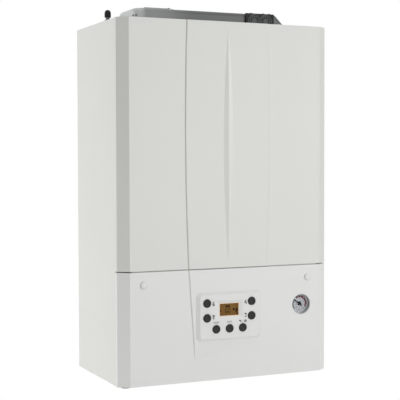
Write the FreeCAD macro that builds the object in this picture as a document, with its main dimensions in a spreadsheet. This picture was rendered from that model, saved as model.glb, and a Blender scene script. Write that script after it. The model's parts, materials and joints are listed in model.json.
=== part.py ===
import FreeCAD, Part
import math
import os
import re
import Sketcher
from FreeCAD import Placement, Rotation, Vector

# A wall-hung gas boiler, in millimetres. The origin is midway between the two hanging holes,
# on the wall plane. +Z is up, the front faces -Y and the wall is the plane y = 0.

# Driving sizes, one cell each
SIZES = {
    # Casing
    "case_width": 440,
    "case_height": 680,
    "case_depth": 244,
    "corner_width": 20,
    "corner_depth": 15,
    "cover_lip": 8,
    "sheet": 1.0,
    "frame_sheet": 1.5,
    "panel_return": 15,
    "panel_gap": 0.5,
    "split_height": 213,
    "split_gap": 2,
    "top_drop": 8,
    "top_fold": 15,
    "frame_side_depth": 110,
    "shelf_depth": 20,
    "shelf_height": 22,
    "hang_drop": 40,
    "hang_spacing": 300,
    "hang_hole_radius": 6,
    "overrun": 5,
    "running_gap": 0.05,
    "free_gap": 0.3,
    # Relief on the front
    "band_rise": 2,
    "band_top_half": 86,
    "band_waist_half": 89.5,
    "band_split_half": 83.5,
    "band_foot_half": 71,
    "band_foot_gap": 35.5,
    "band_fade": 30,
    "keel_half": 10,
    "keel_rise": 2.5,
    "keel_end_half": 1,
    "keel_end_rise": 0.25,
    "keel_top_drop": 14,
    "keel_foot_gap": 16,
    # Hood on the roof
    "hood_width": 326,
    "hood_depth": 120,
    "hood_set": 176,
    "hood_height": 36,
    "hood_slope": 24,
    "hood_front_radius": 22,
    "hood_slope_radius": 12,
    "hood_back_radius": 45,
    "hood_edge_radius": 8,
    "hood_wall": 3,
    "boss_width": 78,
    "boss_depth": 70,
    "boss_rise": 6,
    "boss_taper": 12,
    "boss_side_gap": 24,
    "boss_front_gap": 26,
    "grille_left": 70,
    "grille_width": 62,
    "grille_height": 30,
    "grille_foot_gap": 6,
    "grille_depth": 4,
    "rose_radius": 12,
    "rose_ring_radius": 7,
    "rose_bar": 1.6,
    "screw_head_radius": 4,
    "screw_head_height": 3,
    "screw_shank_radius": 1.8,
    "screw_set": 14,
    # Flue
    "flue_radius": 40,
    "flue_wall": 2,
    "flue_ledge": 2,
    # Expansion vessel and its charging valve
    "vessel_depth": 52,
    "vessel_height": 345,
    "vessel_drop": 45,
    "vessel_side_gap": 22,
    "vessel_radius": 18,
    "vessel_wall": 2,
    "valve_inset": 31.5,
    "valve_rise": 25,
    "valve_stem_radius": 4,
    "valve_collar_radius": 6,
    "valve_collar_height": 7,
    "valve_neck_height": 4,
    "valve_cap_radius": 6.4,
    "valve_cap_height": 15.5,
    "valve_cap_dome": 4.5,
    "valve_crown_radius": 1.5,
    "valve_cap_roof": 4,
    "vessel_pipe_radius": 6,
    "vessel_pipe_bore": 4.5,
    "vessel_pipe_bend": 15,
    # Heat cell
    "cell_width": 210,
    "cell_height": 205,
    "cell_depth": 110,
    "cell_gap": 4,
    "cell_radius": 14,
    "cell_bore": 80,
    "cell_back_wall": 10,
    "cell_foot_height": 380,
    "cell_fan_gap": 20,
    "cell_port_inset": 25,
    "coil_tube_radius": 8,
    "coil_end_gap": 2,
    "door_radius": 96,
    "door_thickness": 10,
    "door_mouth_radius": 26,
    "arm_half": 30,
    "arm_depth": 26,
    "arm_wall": 4,
    "burner_radius": 32,
    "burner_wall": 1.5,
    "burner_length": 75,
    "electrode_radius": 2.5,
    "electrode_spread": 12,
    "electrode_drop": 52,
    "electrode_inside": 30,
    "electrode_outside": 14,
    "nut_width": 10,
    "nut_height": 5,
    "nut_inset": 8,
    # Fan and mixer
    "fan_side_gap": 22,
    "fan_radius": 54,
    "fan_height": 40,
    "fan_wall": 2.5,
    "fan_front_gap": 3.5,
    "fan_tip_gap": 5,
    "fan_plate": 2,
    "fan_plate_gap": 4,
    "fan_blade_height": 22,
    "fan_blade_thickness": 1.5,
    "fan_hub_radius": 10,
    "fan_eye_radius": 22,
    "fan_shaft_radius": 3,
    "fan_shaft_depth": 20,
    "spout_width": 34,
    "motor_radius": 36,
    "motor_height": 45,
    "motor_cap_radius": 22,
    "motor_cap_height": 10,
    "mixer_radius": 30,
    "mixer_bore": 24,
    "mixer_height": 70,
    "nipple_height": 30,
    "nipple_reach": 12,
    "nipple_radius": 9,
    # Gas line
    "gas_pipe_radius": 6,
    "gas_pipe_bore": 5,
    "gas_pipe_bend": 9,
    "gas_turn_rise": 42,
    "gas_riser_gap": 16,
    "gas_valve_width": 64,
    "gas_valve_depth": 60,
    "gas_valve_height": 85,
    "gas_valve_drop": 70,
    "gas_coil_radius": 14,
    "gas_coil_length": 28,
    "gas_flange": 40,
    "gas_flange_height": 8,
    # Tails below the casing
    "tail_wall_distance": 105,
    "tail_side_gap": 100,
    "tail_reach": 25,
    "thread_length": 20,
    "heating_thread_radius": 13.2,
    "water_thread_radius": 10.5,
    "tail_relief": 1.7,
    "tail_wall": 3,
    "tail_hole_gap": 1.5,
    "bracket_height": 20,
    "bracket_depth": 150,
    "bracket_fold": 12,
    # Hydraulics
    "manifold_foot": 70,
    "manifold_height": 80,
    "manifold_depth": 68,
    "manifold_side": 20,
    "plate_wall_gap": 10,
    "plate_depth": 50,
    "plate_end_gap": 25,
    "plate_height": 74,
    "plate_foot": 73,
    "plate_ridge": 2,
    "plate_cover": 3,
    "pipe_wall_distance": 90,
    "water_pipe_radius": 9,
    "water_pipe_bore": 8,
    "water_pipe_bend": 25,
    "flow_pipe_inset": 10,
    "flow_pipe_drop": 50,
    "flow_pipe_slant": 60,
    "return_turn_lift": 2,
    "pump_radius": 40,
    "pump_depth": 40,
    "pump_wall": 4,
    "pump_neck": 14,
    "pump_neck_radius": 15,
    "pump_outlet_rise": 12,
    "pump_motor_radius": 38,
    "pump_motor_length": 40,
    "pump_rotor_gap": 3,
    "pump_rotor_plate": 3,
    "pump_vane_thickness": 2.5,
    "pump_hub_radius": 9,
    "pump_shaft_radius": 4,
    "pump_shaft_depth": 22,
    "diverter_neck_radius": 16,
    "diverter_neck_height": 15,
    "diverter_chamber_radius": 15,
    "diverter_chamber_floor": 12,
    "diverter_chamber_roof": 14,
    "diverter_plug_radius": 13,
    "diverter_plug_height": 6,
    "diverter_travel": 8,
    "spindle_radius": 4,
    "spindle_rise": 10,
    "actuator_width": 44,
    "actuator_height": 60,
    "actuator_socket_radius": 6,
    "relief_radius": 12,
    "relief_length": 20,
    "relief_stub_radius": 4,
    "relief_stub_length": 10,
    "relief_knob_radius": 12,
    "relief_knob_length": 14,
    "relief_height": 45,
    "filler_stem_radius": 5,
    "filler_stem_drop": 66,
    "filler_hub_radius": 7,
    "filler_hub_height": 20,
    "filler_wing_gap": 3.15,
    "filler_wing_thickness": 5,
    "filler_socket_depth": 12,
    # Condensate
    "trap_radius": 16,
    "trap_side_gap": 36.5,
    "trap_wall_distance": 125,
    "trap_height": 128,
    "trap_wall": 2,
    "drain_radius": 10,
    "drain_wall": 2,
    "drain_relief": 1,
    "condensate_radius": 6,
    "condensate_bore": 4.5,
    "condensate_bend": 25,
    "condensate_inset": 20,
    "condensate_set": 140,
    "condensate_drop": 45,
    "condensate_slant": 50,
    # Control panel
    "fascia_wall": 2.5,
    "front_rail_drop": 12,
    "front_rail_height": 22,
    "front_rail_depth": 18,
    "box_side_gap": 30,
    "box_depth": 55,
    "box_foot": 12,
    "box_rail_gap": 6,
    "box_wall": 2.5,
    "hinge_offset": 8,
    "hinge_height": 6,
    "hinge_pin_radius": 4,
    "hinge_pin_length": 24,
    "hinge_lug_width": 10,
    "hinge_lug_half": 5.5,
    "hinge_block_width": 23,
    "hinge_block_half": 9,
    "hinge_block_height": 16,
    "island_half": 69,
    "island_drop": 45,
    "island_height": 92.5,
    "island_rise": 3.5,
    "island_slope": 8,
    "island_end_slope": 4.5,
    "island_corner": 5.5,
    "island_face_corner": 4,
    "window_half": 19.7,
    "window_height": 23,
    "window_drop": 79,
    "recess_half": 27.5,
    "recess_height": 36,
    "recess_depth": 2,
    "board_set": 9,
    "board_half": 57,
    "board_height": 78,
    "board_thickness": 1.6,
    "display_margin": 3,
    "button_radius": 8,
    "button_rise": 2,
    "button_edge": 0.8,
    "button_travel": 1.5,
    "button_flange_radius": 9.5,
    "button_flange": 1.2,
    "button_stem_radius": 3,
    "button_column": 47,
    "button_upper_drop": 65,
    "button_middle_drop": 93,
    "button_lower_drop": 115,
    "button_lower_pitch": 28,
    "gauge_inset": 61,
    "gauge_drop": 78,
    "gauge_radius": 20,
    "gauge_wall": 1.2,
    "gauge_depth": 22,
    "gauge_set": 1,
    "gauge_lens_thickness": 1.5,
    "gauge_lens_set": 1,
    "gauge_dial_set": 7,
    "gauge_dial_thickness": 0.8,
    "gauge_stem_radius": 5,
    "gauge_stem_length": 12,
    "needle_length": 14.5,
    "needle_tail": 5,
    "needle_half": 1.1,
    "needle_thickness": 0.6,
    "needle_lift": 1.5,
    "needle_hub_radius": 2.4,
    "needle_hub_height": 1.2,
    "needle_arbor_radius": 0.8,
    "plug_inset": 47,
    "plug_drop": 25,
    "plug_head_radius": 7.5,
    "plug_dome": 3,
    "plug_rim": 0.8,
    "plug_crown_radius": 2,
    "plug_shank_radius": 4.5,
    "plug_shank_length": 6,
}

# Places that follow from the driving sizes
LAYOUT = {
    "half_width": "case_width / 2",
    "inner_half": "half_width - sheet",
    "frame_half": "inner_half - frame_sheet",
    "floor_z": "hang_drop - case_height",
    "plate_top": "hang_drop - top_drop",
    "plate_under": "plate_top - frame_sheet",
    "front_y": "-case_depth",
    "chamfer_y": "front_y + corner_depth",
    "corner_length": "sqrt(corner_width * corner_width + corner_depth * corner_depth)",
    "lip_y": "chamfer_y + cover_lip",
    "panel_front": "lip_y + panel_gap",
    "panel_inside": "panel_front + sheet",
    "split_z": "floor_z + split_height",
    "cover_foot": "split_z + split_gap / 2",
    "fascia_top": "split_z - split_gap / 2",
    "hood_front": "-hood_set",
    "hood_back": "hood_front + hood_depth",
    "hood_top": "plate_top + hood_height",
    "flue_y": "hood_front + hood_depth / 2",
    "flue_outer": "flue_radius + flue_wall",
    "vessel_front": "-frame_sheet - vessel_depth",
    "vessel_y": "-frame_sheet - vessel_depth / 2",
    "vessel_half": "frame_half - vessel_side_gap",
    "vessel_top": "plate_under - vessel_drop",
    "vessel_foot": "vessel_top - vessel_height",
    "valve_x": "valve_inset - vessel_half",
    "valve_cap_foot": "hang_drop + valve_rise",
    "valve_cap_top": "valve_cap_foot + valve_cap_height",
    "fan_x": "frame_half - fan_side_gap - fan_radius",
    "fan_left": "fan_x - fan_radius",
    "cell_right": "fan_left - cell_fan_gap",
    "cell_left": "cell_right - cell_width",
    "cell_x": "cell_right - cell_width / 2",
    "cell_foot": "floor_z + cell_foot_height",
    "cell_top": "cell_foot + cell_height",
    "cell_z": "cell_foot + cell_height / 2",
    "cell_back": "vessel_front - cell_gap",
    "cell_front": "cell_back - cell_depth",
    "cell_bore_end": "cell_back - cell_back_wall",
    "door_front": "cell_front - door_thickness",
    "arm_front": "door_front - arm_depth",
    "arm_right": "fan_left + spout_width",
    "fan_y": "door_front + fan_front_gap + fan_radius",
    "fan_foot": "cell_z - fan_height / 2",
    "fan_top": "cell_z + fan_height / 2",
    "fan_plate_z": "fan_top - fan_wall - fan_plate_gap",
    "mixer_foot": "fan_foot - mixer_height",
    "nipple_z": "mixer_foot + nipple_height",
    "nipple_end": "fan_x - mixer_radius - nipple_reach",
    "gas_valve_top": "cell_foot - gas_valve_drop",
    "gas_valve_base": "gas_valve_top - gas_valve_height",
    "gas_turn_z": "gas_valve_top + gas_turn_rise",
    "gas_riser_x": "cell_right + gas_riser_gap",
    "tail_y": "-tail_wall_distance",
    "tail_end": "floor_z - tail_reach",
    "thread_end": "tail_end + thread_length",
    "heating_x": "half_width - tail_side_gap",
    "tail_pitch": "heating_x / 2",
    "plate_half": "heating_x - plate_end_gap",
    "bracket_z": "floor_z + bracket_height",
    "bracket_top": "bracket_z + frame_sheet",
    "plate_back": "-frame_sheet - plate_wall_gap",
    "plate_front": "plate_back - plate_depth",
    "manifold_z": "floor_z + manifold_foot",
    "manifold_top": "manifold_z + manifold_height",
    "manifold_front": "plate_front - manifold_depth",
    "manifold_outer": "heating_x + manifold_side",
    "manifold_inner": "tail_pitch - manifold_side",
    "pipe_y": "-pipe_wall_distance",
    "flow_pipe_x": "-tail_pitch - flow_pipe_inset",
    "pump_z": "manifold_top + pump_neck + pump_radius",
    "pump_outlet": "pump_z + pump_radius + pump_outlet_rise",
    "return_turn_z": "(pump_outlet + cell_foot) / 2 + return_turn_lift",
    "pump_back": "pipe_y + pump_depth / 2",
    "pump_front": "pipe_y - pump_depth / 2",
    "pump_rotor_radius": "pump_radius - pump_wall - pump_rotor_gap",
    "chamber_foot": "manifold_z + diverter_chamber_floor",
    "chamber_top": "manifold_top - diverter_chamber_roof",
    "plug_foot": "chamber_foot + diverter_travel + diverter_plug_height",
    "neck_top": "manifold_top + diverter_neck_height",
    "relief_z": "manifold_z + relief_height",
    "relief_end": "manifold_outer + relief_length",
    "filler_x": "(tail_pitch + water_thread_radius + heating_x - heating_thread_radius) / 2",
    "filler_room": "(tail_pitch - heating_thread_radius - water_thread_radius) / 2",
    "filler_wing_length": "filler_room - filler_wing_gap",
    "filler_stem_end": "manifold_z - filler_stem_drop",
    "trap_x": "trap_side_gap + trap_radius - frame_half",
    "trap_y": "-trap_wall_distance",
    "trap_top": "bracket_top + trap_height",
    "box_half": "half_width - box_side_gap",
    "box_front": "front_y + fascia_wall",
    "box_back": "box_front + box_depth",
    "box_z": "floor_z + box_foot",
    "rail_top": "fascia_top - front_rail_drop",
    "rail_foot": "rail_top - front_rail_height",
    "box_top": "rail_foot - box_rail_gap",
    "hinge_y": "box_back + hinge_offset",
    "hinge_z": "floor_z + hinge_height",
    "island_front": "front_y - band_rise - island_rise",
    "island_inside": "island_front + fascia_wall",
    "island_top": "split_z - island_drop",
    "island_foot": "island_top - island_height",
    "island_z": "(island_foot + island_top) / 2",
    "band_foot": "island_foot - band_foot_gap",
    "window_z": "split_z - window_drop",
    "board_front": "island_inside + board_set",
    "gauge_x": "half_width - gauge_inset",
    "gauge_z": "split_z - gauge_drop",
    "gauge_front": "front_y + gauge_set",
    "gauge_bore": "gauge_radius - gauge_wall",
    "dial_front": "gauge_front + gauge_dial_set",
    "plug_x": "half_width - plug_inset",
    "plug_z": "split_z - plug_drop",
}

# Counts and angles
COIL_TURN_COUNT = 4
FAN_BLADE_COUNT = 11
PUMP_VANE_COUNT = 6
GRIP_COUNT = 8
NEEDLE_REST_ANGLE = 145

# Shares of the hood's half width where its roof screws sit
HOOD_SCREW_SHARES = (-0.53, 0.56, 0.72, 0.8)
# Shares of the grille's width where its two roses sit
ROSE_SHARES = (0.3, 0.7)
# Shares of a full turn where the door nuts sit
NUT_SHARES = (0.125, 0.375, 0.625, 0.875)

doc = FreeCAD.newDocument("boiler")
sizes = doc.addObject("Spreadsheet::Sheet", "Sizes")
layout = doc.addObject("Spreadsheet::Sheet", "Layout")
PIECES = {}
WORD = re.compile(r"[a-z][a-z_0-9]*")


def formula(text, own_sheet=False):
    """Turn plain names into references to the two sheets."""
    def reference(match):
        word = match.group()
        if word in SIZES:
            return "Sizes." + word
        if word in LAYOUT and not own_sheet:
            return "Layout." + word
        return word
    return WORD.sub(reference, text)


def fill_sheets():
    for row, (name, value) in enumerate(SIZES.items(), start=1):
        sizes.set(f"A{row}", str(value))
        sizes.setAlias(f"A{row}", name)
    for row, (name, text) in enumerate(LAYOUT.items(), start=1):
        layout.set(f"A{row}", "=" + formula(text, own_sheet=True))
        layout.setAlias(f"A{row}", name)
    doc.recompute()


def number(text):
    """The present value of an expression, for the few shapes made in code."""
    return float(sizes.evalExpression(formula(text)))


def bind(thing, field, text):
    thing.setExpression(field, formula(text))


def span(low, high):
    return f"({high}) - ({low})"


def mirrored(low, high):
    """The same stretch on the other side of x = 0."""
    return f"-({high})", f"-({low})"


def place(thing, x, y, z):
    for axis, text in zip("xyz", (x, y, z)):
        bind(thing, f"Placement.Base.{axis}", text)


def box(name, xs, ys, zs):
    block = doc.addObject("Part::Box", name)
    bind(block, "Length", span(*xs))
    bind(block, "Width", span(*ys))
    bind(block, "Height", span(*zs))
    place(block, xs[0], ys[0], zs[0])
    return block


TURN = {
    "x": Rotation(Vector(0, 1, 0), 90),
    "y": Rotation(Vector(1, 0, 0), -90),
    "z": Rotation(),
    "-x": Rotation(Vector(0, 1, 0), -90),
    "-y": Rotation(Vector(1, 0, 0), 90),
    "-z": Rotation(Vector(1, 0, 0), 180),
}


def rod(name, axis, at, radius, ends):
    """A round bar along an axis; at holds its two other coordinates in x, y, z order."""
    bar = doc.addObject("Part::Cylinder", name)
    bind(bar, "Radius", radius)
    bind(bar, "Height", span(*ends))
    bar.Placement = Placement(Vector(), TURN[axis])
    spot = list(at)
    spot.insert("xyz".index(axis), ends[0])
    place(bar, *spot)
    return bar


def fuse(name, *shapes):
    joined = doc.addObject("Part::MultiFuse", name)
    joined.Shapes = list(shapes)
    return joined


def cut(name, base, *tools):
    trimmed = doc.addObject("Part::Cut", name)
    trimmed.Base = base
    trimmed.Tool = tools[0] if len(tools) == 1 else fuse(name + "_tools", *tools)
    return trimmed


def group(name, *shapes):
    together = doc.addObject("Part::Compound", name)
    together.Links = list(shapes)
    return together


def piece(label, thing):
    thing.Label = label
    PIECES[label] = thing
    return thing


def origin_part(body, role):
    return next(item for item in body.Origin.OriginFeatures if item.Role == role)


def new_body(name):
    return doc.addObject("PartDesign::Body", name)


def new_sketch(body, name, role, offset):
    sketch = body.newObject("Sketcher::SketchObject", name)
    sketch.AttachmentSupport = [(origin_part(body, role), "")]
    sketch.MapMode = "FlatFace"
    bind(sketch, "AttachmentOffset.Base.z", offset)
    return sketch


def fix_point(sketch, element, end, at):
    """Tie one point of a sketch to its two expressions."""
    for kind, text in zip(("DistanceX", "DistanceY"), at):
        if text == "0":
            axis = -2 if kind == "DistanceX" else -1
            sketch.addConstraint(Sketcher.Constraint("PointOnObject", element, end, axis))
            continue
        rule = sketch.addConstraint(Sketcher.Constraint(kind, -1, 1, element, end, number(text)))
        bind(sketch, f"Constraints[{rule}]", text)


def flat(at):
    return Vector(number(at[0]), number(at[1]), 0)


def draw_outline(sketch, points, bows=None):
    """A closed outline of lines; bows maps an edge's number to a point its arc passes through."""
    bows = bows or {}
    first = sketch.GeometryCount
    count = len(points)
    for index in range(count):
        start = flat(points[index])
        end = flat(points[(index + 1) % count])
        if index in bows:
            sketch.addGeometry(Part.Arc(start, flat(bows[index]), end))
        else:
            sketch.addGeometry(Part.LineSegment(start, end))
    ends = []
    for index in range(count):
        edge = sketch.Geometry[first + index]
        start = flat(points[index])
        ends.append((1, 2) if edge.StartPoint.distanceToPoint(start) < edge.EndPoint.distanceToPoint(start)
                    else (2, 1))
    for index in range(count):
        after = (index + 1) % count
        sketch.addConstraint(Sketcher.Constraint(
            "Coincident", first + index, ends[index][1], first + after, ends[after][0]))
    for index in range(count):
        fix_point(sketch, first + index, ends[index][0], points[index])
    for index, bow in bows.items():
        mark = sketch.addGeometry(Part.Point(flat(bow)), True)
        fix_point(sketch, mark, 1, bow)
        sketch.addConstraint(Sketcher.Constraint("PointOnObject", mark, 1, first + index))


def draw_circle(sketch, at, radius):
    ring = sketch.addGeometry(Part.Circle(flat(at), Vector(0, 0, 1), number(radius)))
    fix_point(sketch, ring, 3, at)
    rule = sketch.addConstraint(Sketcher.Constraint("Radius", ring, number(radius)))
    bind(sketch, f"Constraints[{rule}]", radius)


def rectangle(half_width, low, high):
    return [(f"-({half_width})", low), (half_width, low), (half_width, high), (f"-({half_width})", high)]


def pad(body, sketch, name, length):
    feature = body.newObject("PartDesign::Pad", name)
    feature.Profile = sketch
    bind(feature, "Length", length)
    return feature


def pocket(body, sketch, name, length, along_normal=False):
    """Cut from a sketch, against its normal unless told otherwise, and see that it cut."""
    doc.recompute()
    before = body.Shape.Volume
    feature = body.newObject("PartDesign::Pocket", name)
    feature.Profile = sketch
    feature.Reversed = along_normal
    bind(feature, "Length", length)
    doc.recompute()
    if not body.Shape.Volume < before:
        raise RuntimeError(name + " cuts nothing")
    return feature


def edges_along(shape, direction):
    """Names of the straight edges that run along a direction."""
    names = []
    for index, edge in enumerate(shape.Edges, start=1):
        if isinstance(edge.Curve, Part.Line) and abs(edge.Curve.Direction.dot(direction)) > 1 - 1e-6:
            names.append(f"Edge{index}")
    return names


def round_edges(body, base, names, name, radius):
    feature = body.newObject("PartDesign::Fillet", name)
    feature.Base = (base, names)
    bind(feature, "Radius", radius)
    doc.recompute()
    return feature


def rounded_block(name, xs, ys, zs, radius):
    """A block whose four edges along Y are rounded."""
    body = new_body(name)
    sketch = new_sketch(body, name + "_outline", "XZ_Plane", f"-({ys[1]})")
    draw_outline(sketch, [(xs[0], zs[0]), (xs[1], zs[0]), (xs[1], zs[1]), (xs[0], zs[1])])
    base = pad(body, sketch, name + "_pad", span(*ys))
    doc.recompute()
    round_edges(body, base, edges_along(body.Shape, Vector(0, 1, 0)), name + "_round", radius)
    return body


def turned(name, axis, at, profile, bows=None):
    """A turned piece: profile holds (radius, distance along the axis) pairs from the point at."""
    body = new_body(name)
    sketch = new_sketch(body, name + "_profile", "XZ_Plane", "0")
    draw_outline(sketch, profile, bows)
    feature = body.newObject("PartDesign::Revolution", name + "_turn")
    feature.Profile = sketch
    feature.ReferenceAxis = (sketch, ["V_Axis"])
    feature.Angle = 360
    body.Placement = Placement(Vector(), TURN[axis])
    place(body, *at)
    return body


def bent_path(points, bend):
    """Straight runs joined by tangent arcs of one radius."""
    edges = []
    start = points[0]
    for before, corner, after in zip(points, points[1:], points[2:]):
        back = (before - corner).normalize()
        ahead = (after - corner).normalize()
        half_turn = (math.pi - back.getAngle(ahead)) / 2
        reach = bend * math.tan(half_turn)
        enter = corner + back * reach
        leave = corner + ahead * reach
        inward = (back + ahead).normalize()
        middle = corner + inward * (bend / math.cos(half_turn) - bend)
        edges.append(Part.LineSegment(start, enter).toShape())
        edges.append(Part.Arc(enter, middle, leave).toShape())
        start = leave
    edges.append(Part.LineSegment(start, points[-1]).toShape())
    return Part.Wire(edges)


def swept_bar(path, radius):
    start = path.Edges[0]
    ring = Part.Wire([Part.makeCircle(radius, start.valueAt(start.FirstParameter), start.tangentAt(0))])
    return path.makePipeShell([ring], True, False)


def pipe(label, points, radius, bore, bend):
    """A bent tube through points given as expressions."""
    path = bent_path([Vector(*(number(text) for text in point)) for point in points], number(bend))
    tube = doc.addObject("Part::Feature", label)
    tube.Shape = swept_bar(path, number(radius)).cut(swept_bar(path, number(bore)))
    tube.Placement = Placement()
    return piece(label, tube)


# Casing

def make_rear_frame():
    across = ("-frame_half", "frame_half")
    height = ("floor_z", "plate_under")
    shelf = ("vessel_front - shelf_depth", "vessel_front")
    sheets = [
        box("frame_back", ("-inner_half", "inner_half"), ("-frame_sheet", "0"), height),
        box("frame_left", ("-inner_half", "-frame_half"), ("-frame_side_depth", "-frame_sheet"), height),
        box("frame_right", ("frame_half", "inner_half"), ("-frame_side_depth", "-frame_sheet"), height),
        box("frame_shelf", across, shelf, ("cell_foot - frame_sheet", "cell_foot")),
        box("frame_shelf_web", across, ("vessel_front - shelf_depth",
            "vessel_front - shelf_depth + frame_sheet"),
            ("cell_foot - shelf_height", "cell_foot - frame_sheet")),
    ]
    holes = [
        rod(f"hang_hole_{side}", "y", (place_x, "0"), "hang_hole_radius", ("-frame_sheet - overrun",
            "overrun"))
        for side, place_x in (("left", "-hang_spacing / 2"), ("right", "hang_spacing / 2"))
    ]
    piece("rear_frame", cut("rear_frame", fuse("frame_sheets", *sheets), *holes))


def make_side_panel(side, skin, fold):
    height = ("floor_z", "hang_drop")
    sheets = [
        box(side + "_skin", skin, ("panel_front", "0"), height),
        box(side + "_front_fold", fold, ("panel_front", "panel_inside"), height),
        box(side + "_roof_fold", fold, ("panel_inside", "0"), ("hang_drop - sheet", "hang_drop")),
    ]
    piece(side + "_side_panel", fuse(side + "_side_panel", *sheets))


def make_side_panels():
    skin = ("inner_half", "half_width")
    fold = ("inner_half - panel_return", "inner_half")
    make_side_panel("right", skin, fold)
    make_side_panel("left", mirrored(*skin), mirrored(*fold))


def make_top_plate():
    across = ("-inner_half", "inner_half")
    plate = box("top_sheet", across, ("panel_inside", "0"), ("plate_under", "plate_top"))
    fold = box("top_fold_sheet", across, ("panel_inside", "panel_inside + frame_sheet"),
               ("plate_under - top_fold", "plate_under"))
    through = ("plate_under - overrun", "plate_top + overrun")
    flue_hole = rod("top_flue_hole", "z", ("0", "flue_y"), "flue_outer + free_gap", through)
    valve_hole = rod("top_valve_hole", "z", ("valve_x", "vessel_y"), "valve_collar_radius + free_gap",
        through)
    piece("top_plate", cut("top_plate", fuse("top_sheets", plate, fold), flue_hole, valve_hole))


TAILS = (
    ("flow", "-heating_x", "heating_thread_radius"),
    ("hot", "-tail_pitch", "water_thread_radius"),
    ("gas", "0", "heating_thread_radius"),
    ("cold", "tail_pitch", "water_thread_radius"),
    ("return", "heating_x", "heating_thread_radius"),
)


def make_pipe_bracket():
    across = ("-frame_half", "frame_half")
    plate = box("bracket_plate", across, ("-bracket_depth", "-frame_sheet"), ("bracket_z", "bracket_top"))
    fold = box("bracket_fold_sheet", across, ("-bracket_depth", "-bracket_depth + frame_sheet"),
               ("bracket_top", "bracket_top + bracket_fold"))
    through = ("bracket_z - overrun", "bracket_top + overrun")
    holes = [
        rod(name + "_hole", "z", (x, "tail_y"), f"{radius} + tail_hole_gap", through)
        for name, x, radius in TAILS
    ]
    holes.append(rod("filler_hole", "z", ("filler_x", "tail_y"), "filler_stem_radius + tail_hole_gap",
        through))
    holes.append(rod("drain_hole", "z", ("trap_x", "trap_y"), "drain_radius + free_gap", through))
    piece("pipe_bracket", cut("pipe_bracket", fuse("bracket_sheets", plate, fold), *holes))


def make_front_rail():
    across = ("-inner_half", "inner_half")
    web = box("rail_web", across, ("panel_inside", "panel_inside + frame_sheet"), ("rail_foot", "rail_top"))
    shelf = box("rail_shelf", across, ("panel_inside + frame_sheet", "panel_inside + front_rail_depth"),
                ("rail_top - frame_sheet", "rail_top"))
    piece("front_rail", fuse("front_rail", web, shelf))


def make_hinge_blocks():
    stretch = ("inner_half - hinge_block_width", "inner_half")
    blocks = []
    for side, xs in (("right", stretch), ("left", mirrored(*stretch))):
        block = box(side + "_hinge_block", xs, ("hinge_y - hinge_block_half", "hinge_y + hinge_block_half"),
                    ("floor_z", "floor_z + hinge_block_height"))
        bore = rod(side + "_hinge_bore", "x", ("hinge_y", "hinge_z"), "hinge_pin_radius + running_gap",
                   (f"{xs[0]} - overrun", f"{xs[1]} + overrun"))
        blocks.append(cut(side + "_hinge", block, bore))
    piece("panel_hinges", group("panel_hinges", *blocks))


# Covers on the front

def cover_outline(inset):
    """Half of a cover's plan, mirrored: straight lips, sloped corners and a flat front."""
    side_bend = f"({inset}) * (corner_length - corner_depth) / corner_width"
    front_bend = f"({inset}) * (corner_length - corner_width) / corner_depth"
    right = [
        (f"half_width - ({inset})", "lip_y"),
        (f"half_width - ({inset})", f"chamfer_y + {side_bend}"),
        (f"half_width - corner_width - {front_bend}", f"front_y + ({inset})"),
    ]
    left = [(f"-({x})", y) for x, y in reversed(right)]
    return right + left


def cover_shell(name, wall, low, high):
    """A shallow tray, open to the back."""
    body = new_body(name)
    outside = new_sketch(body, name + "_plan", "XY_Plane", low)
    draw_outline(outside, cover_outline("0"))
    pad(body, outside, name + "_block", span(low, high))
    inside = new_sketch(body, name + "_hollow_plan", "XY_Plane", f"{low} + {wall}")
    draw_outline(inside, cover_outline(wall))
    pocket(body, inside, name + "_hollow", f"{span(low, high)} - 2 * {wall}", along_normal=True)
    return body


def upper_band(inset):
    """The broad raised band of the cover: both edges bow out between the top and the foot."""
    middle = "(hang_drop + cover_foot) / 2"
    points = [
        (f"-(band_split_half - {inset})", f"cover_foot + {inset}"),
        (f"band_split_half - {inset}", f"cover_foot + {inset}"),
        (f"band_top_half - {inset}", f"hang_drop - {inset}"),
        (f"-(band_top_half - {inset})", f"hang_drop - {inset}"),
    ]
    bows = {
        1: (f"band_waist_half - {inset}", middle),
        3: (f"-(band_waist_half - {inset})", middle),
    }
    return points, bows


def make_front_cover():
    body = cover_shell("front_cover", "sheet", "cover_foot", "hang_drop")
    band = new_sketch(body, "cover_band", "XZ_Plane", "case_depth")
    draw_outline(band, *upper_band("0"))
    pad(body, band, "cover_band_pad", "band_rise")
    hollow = new_sketch(body, "cover_band_inside", "XZ_Plane", "case_depth - sheet")
    draw_outline(hollow, *upper_band("sheet"))
    pocket(body, hollow, "cover_band_hollow", "band_rise", along_normal=True)
    skin = "front_y - band_rise"
    sections = []
    levels = (
        ("foot", "cover_foot + keel_foot_gap", "keel_end_half", "keel_end_rise"),
        ("waist", "(cover_foot + hang_drop) / 2", "keel_half", "keel_rise"),
        ("top", "hang_drop - keel_top_drop", "keel_end_half", "keel_end_rise"),
    )
    for level, height, half, rise in levels:
        section = new_sketch(body, "keel_" + level, "XY_Plane", height)
        draw_outline(section, [(half, skin), (f"-{half}", skin), ("0", f"{skin} - {rise}")])
        sections.append(section)
    keel = body.newObject("PartDesign::AdditiveLoft", "keel")
    keel.Profile = sections[0]
    keel.Sections = sections[1:]
    piece("front_cover", body)


BUTTONS = (
    ("heating_up_button", "-button_column", "button_upper_drop"),
    ("heating_down_button", "-button_column", "button_middle_drop"),
    ("water_up_button", "button_column", "button_upper_drop"),
    ("water_down_button", "button_column", "button_middle_drop"),
    ("reset_button", "-button_lower_pitch", "button_lower_drop"),
    ("info_button", "0", "button_lower_drop"),
    ("season_button", "button_lower_pitch", "button_lower_drop"),
)


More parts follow.
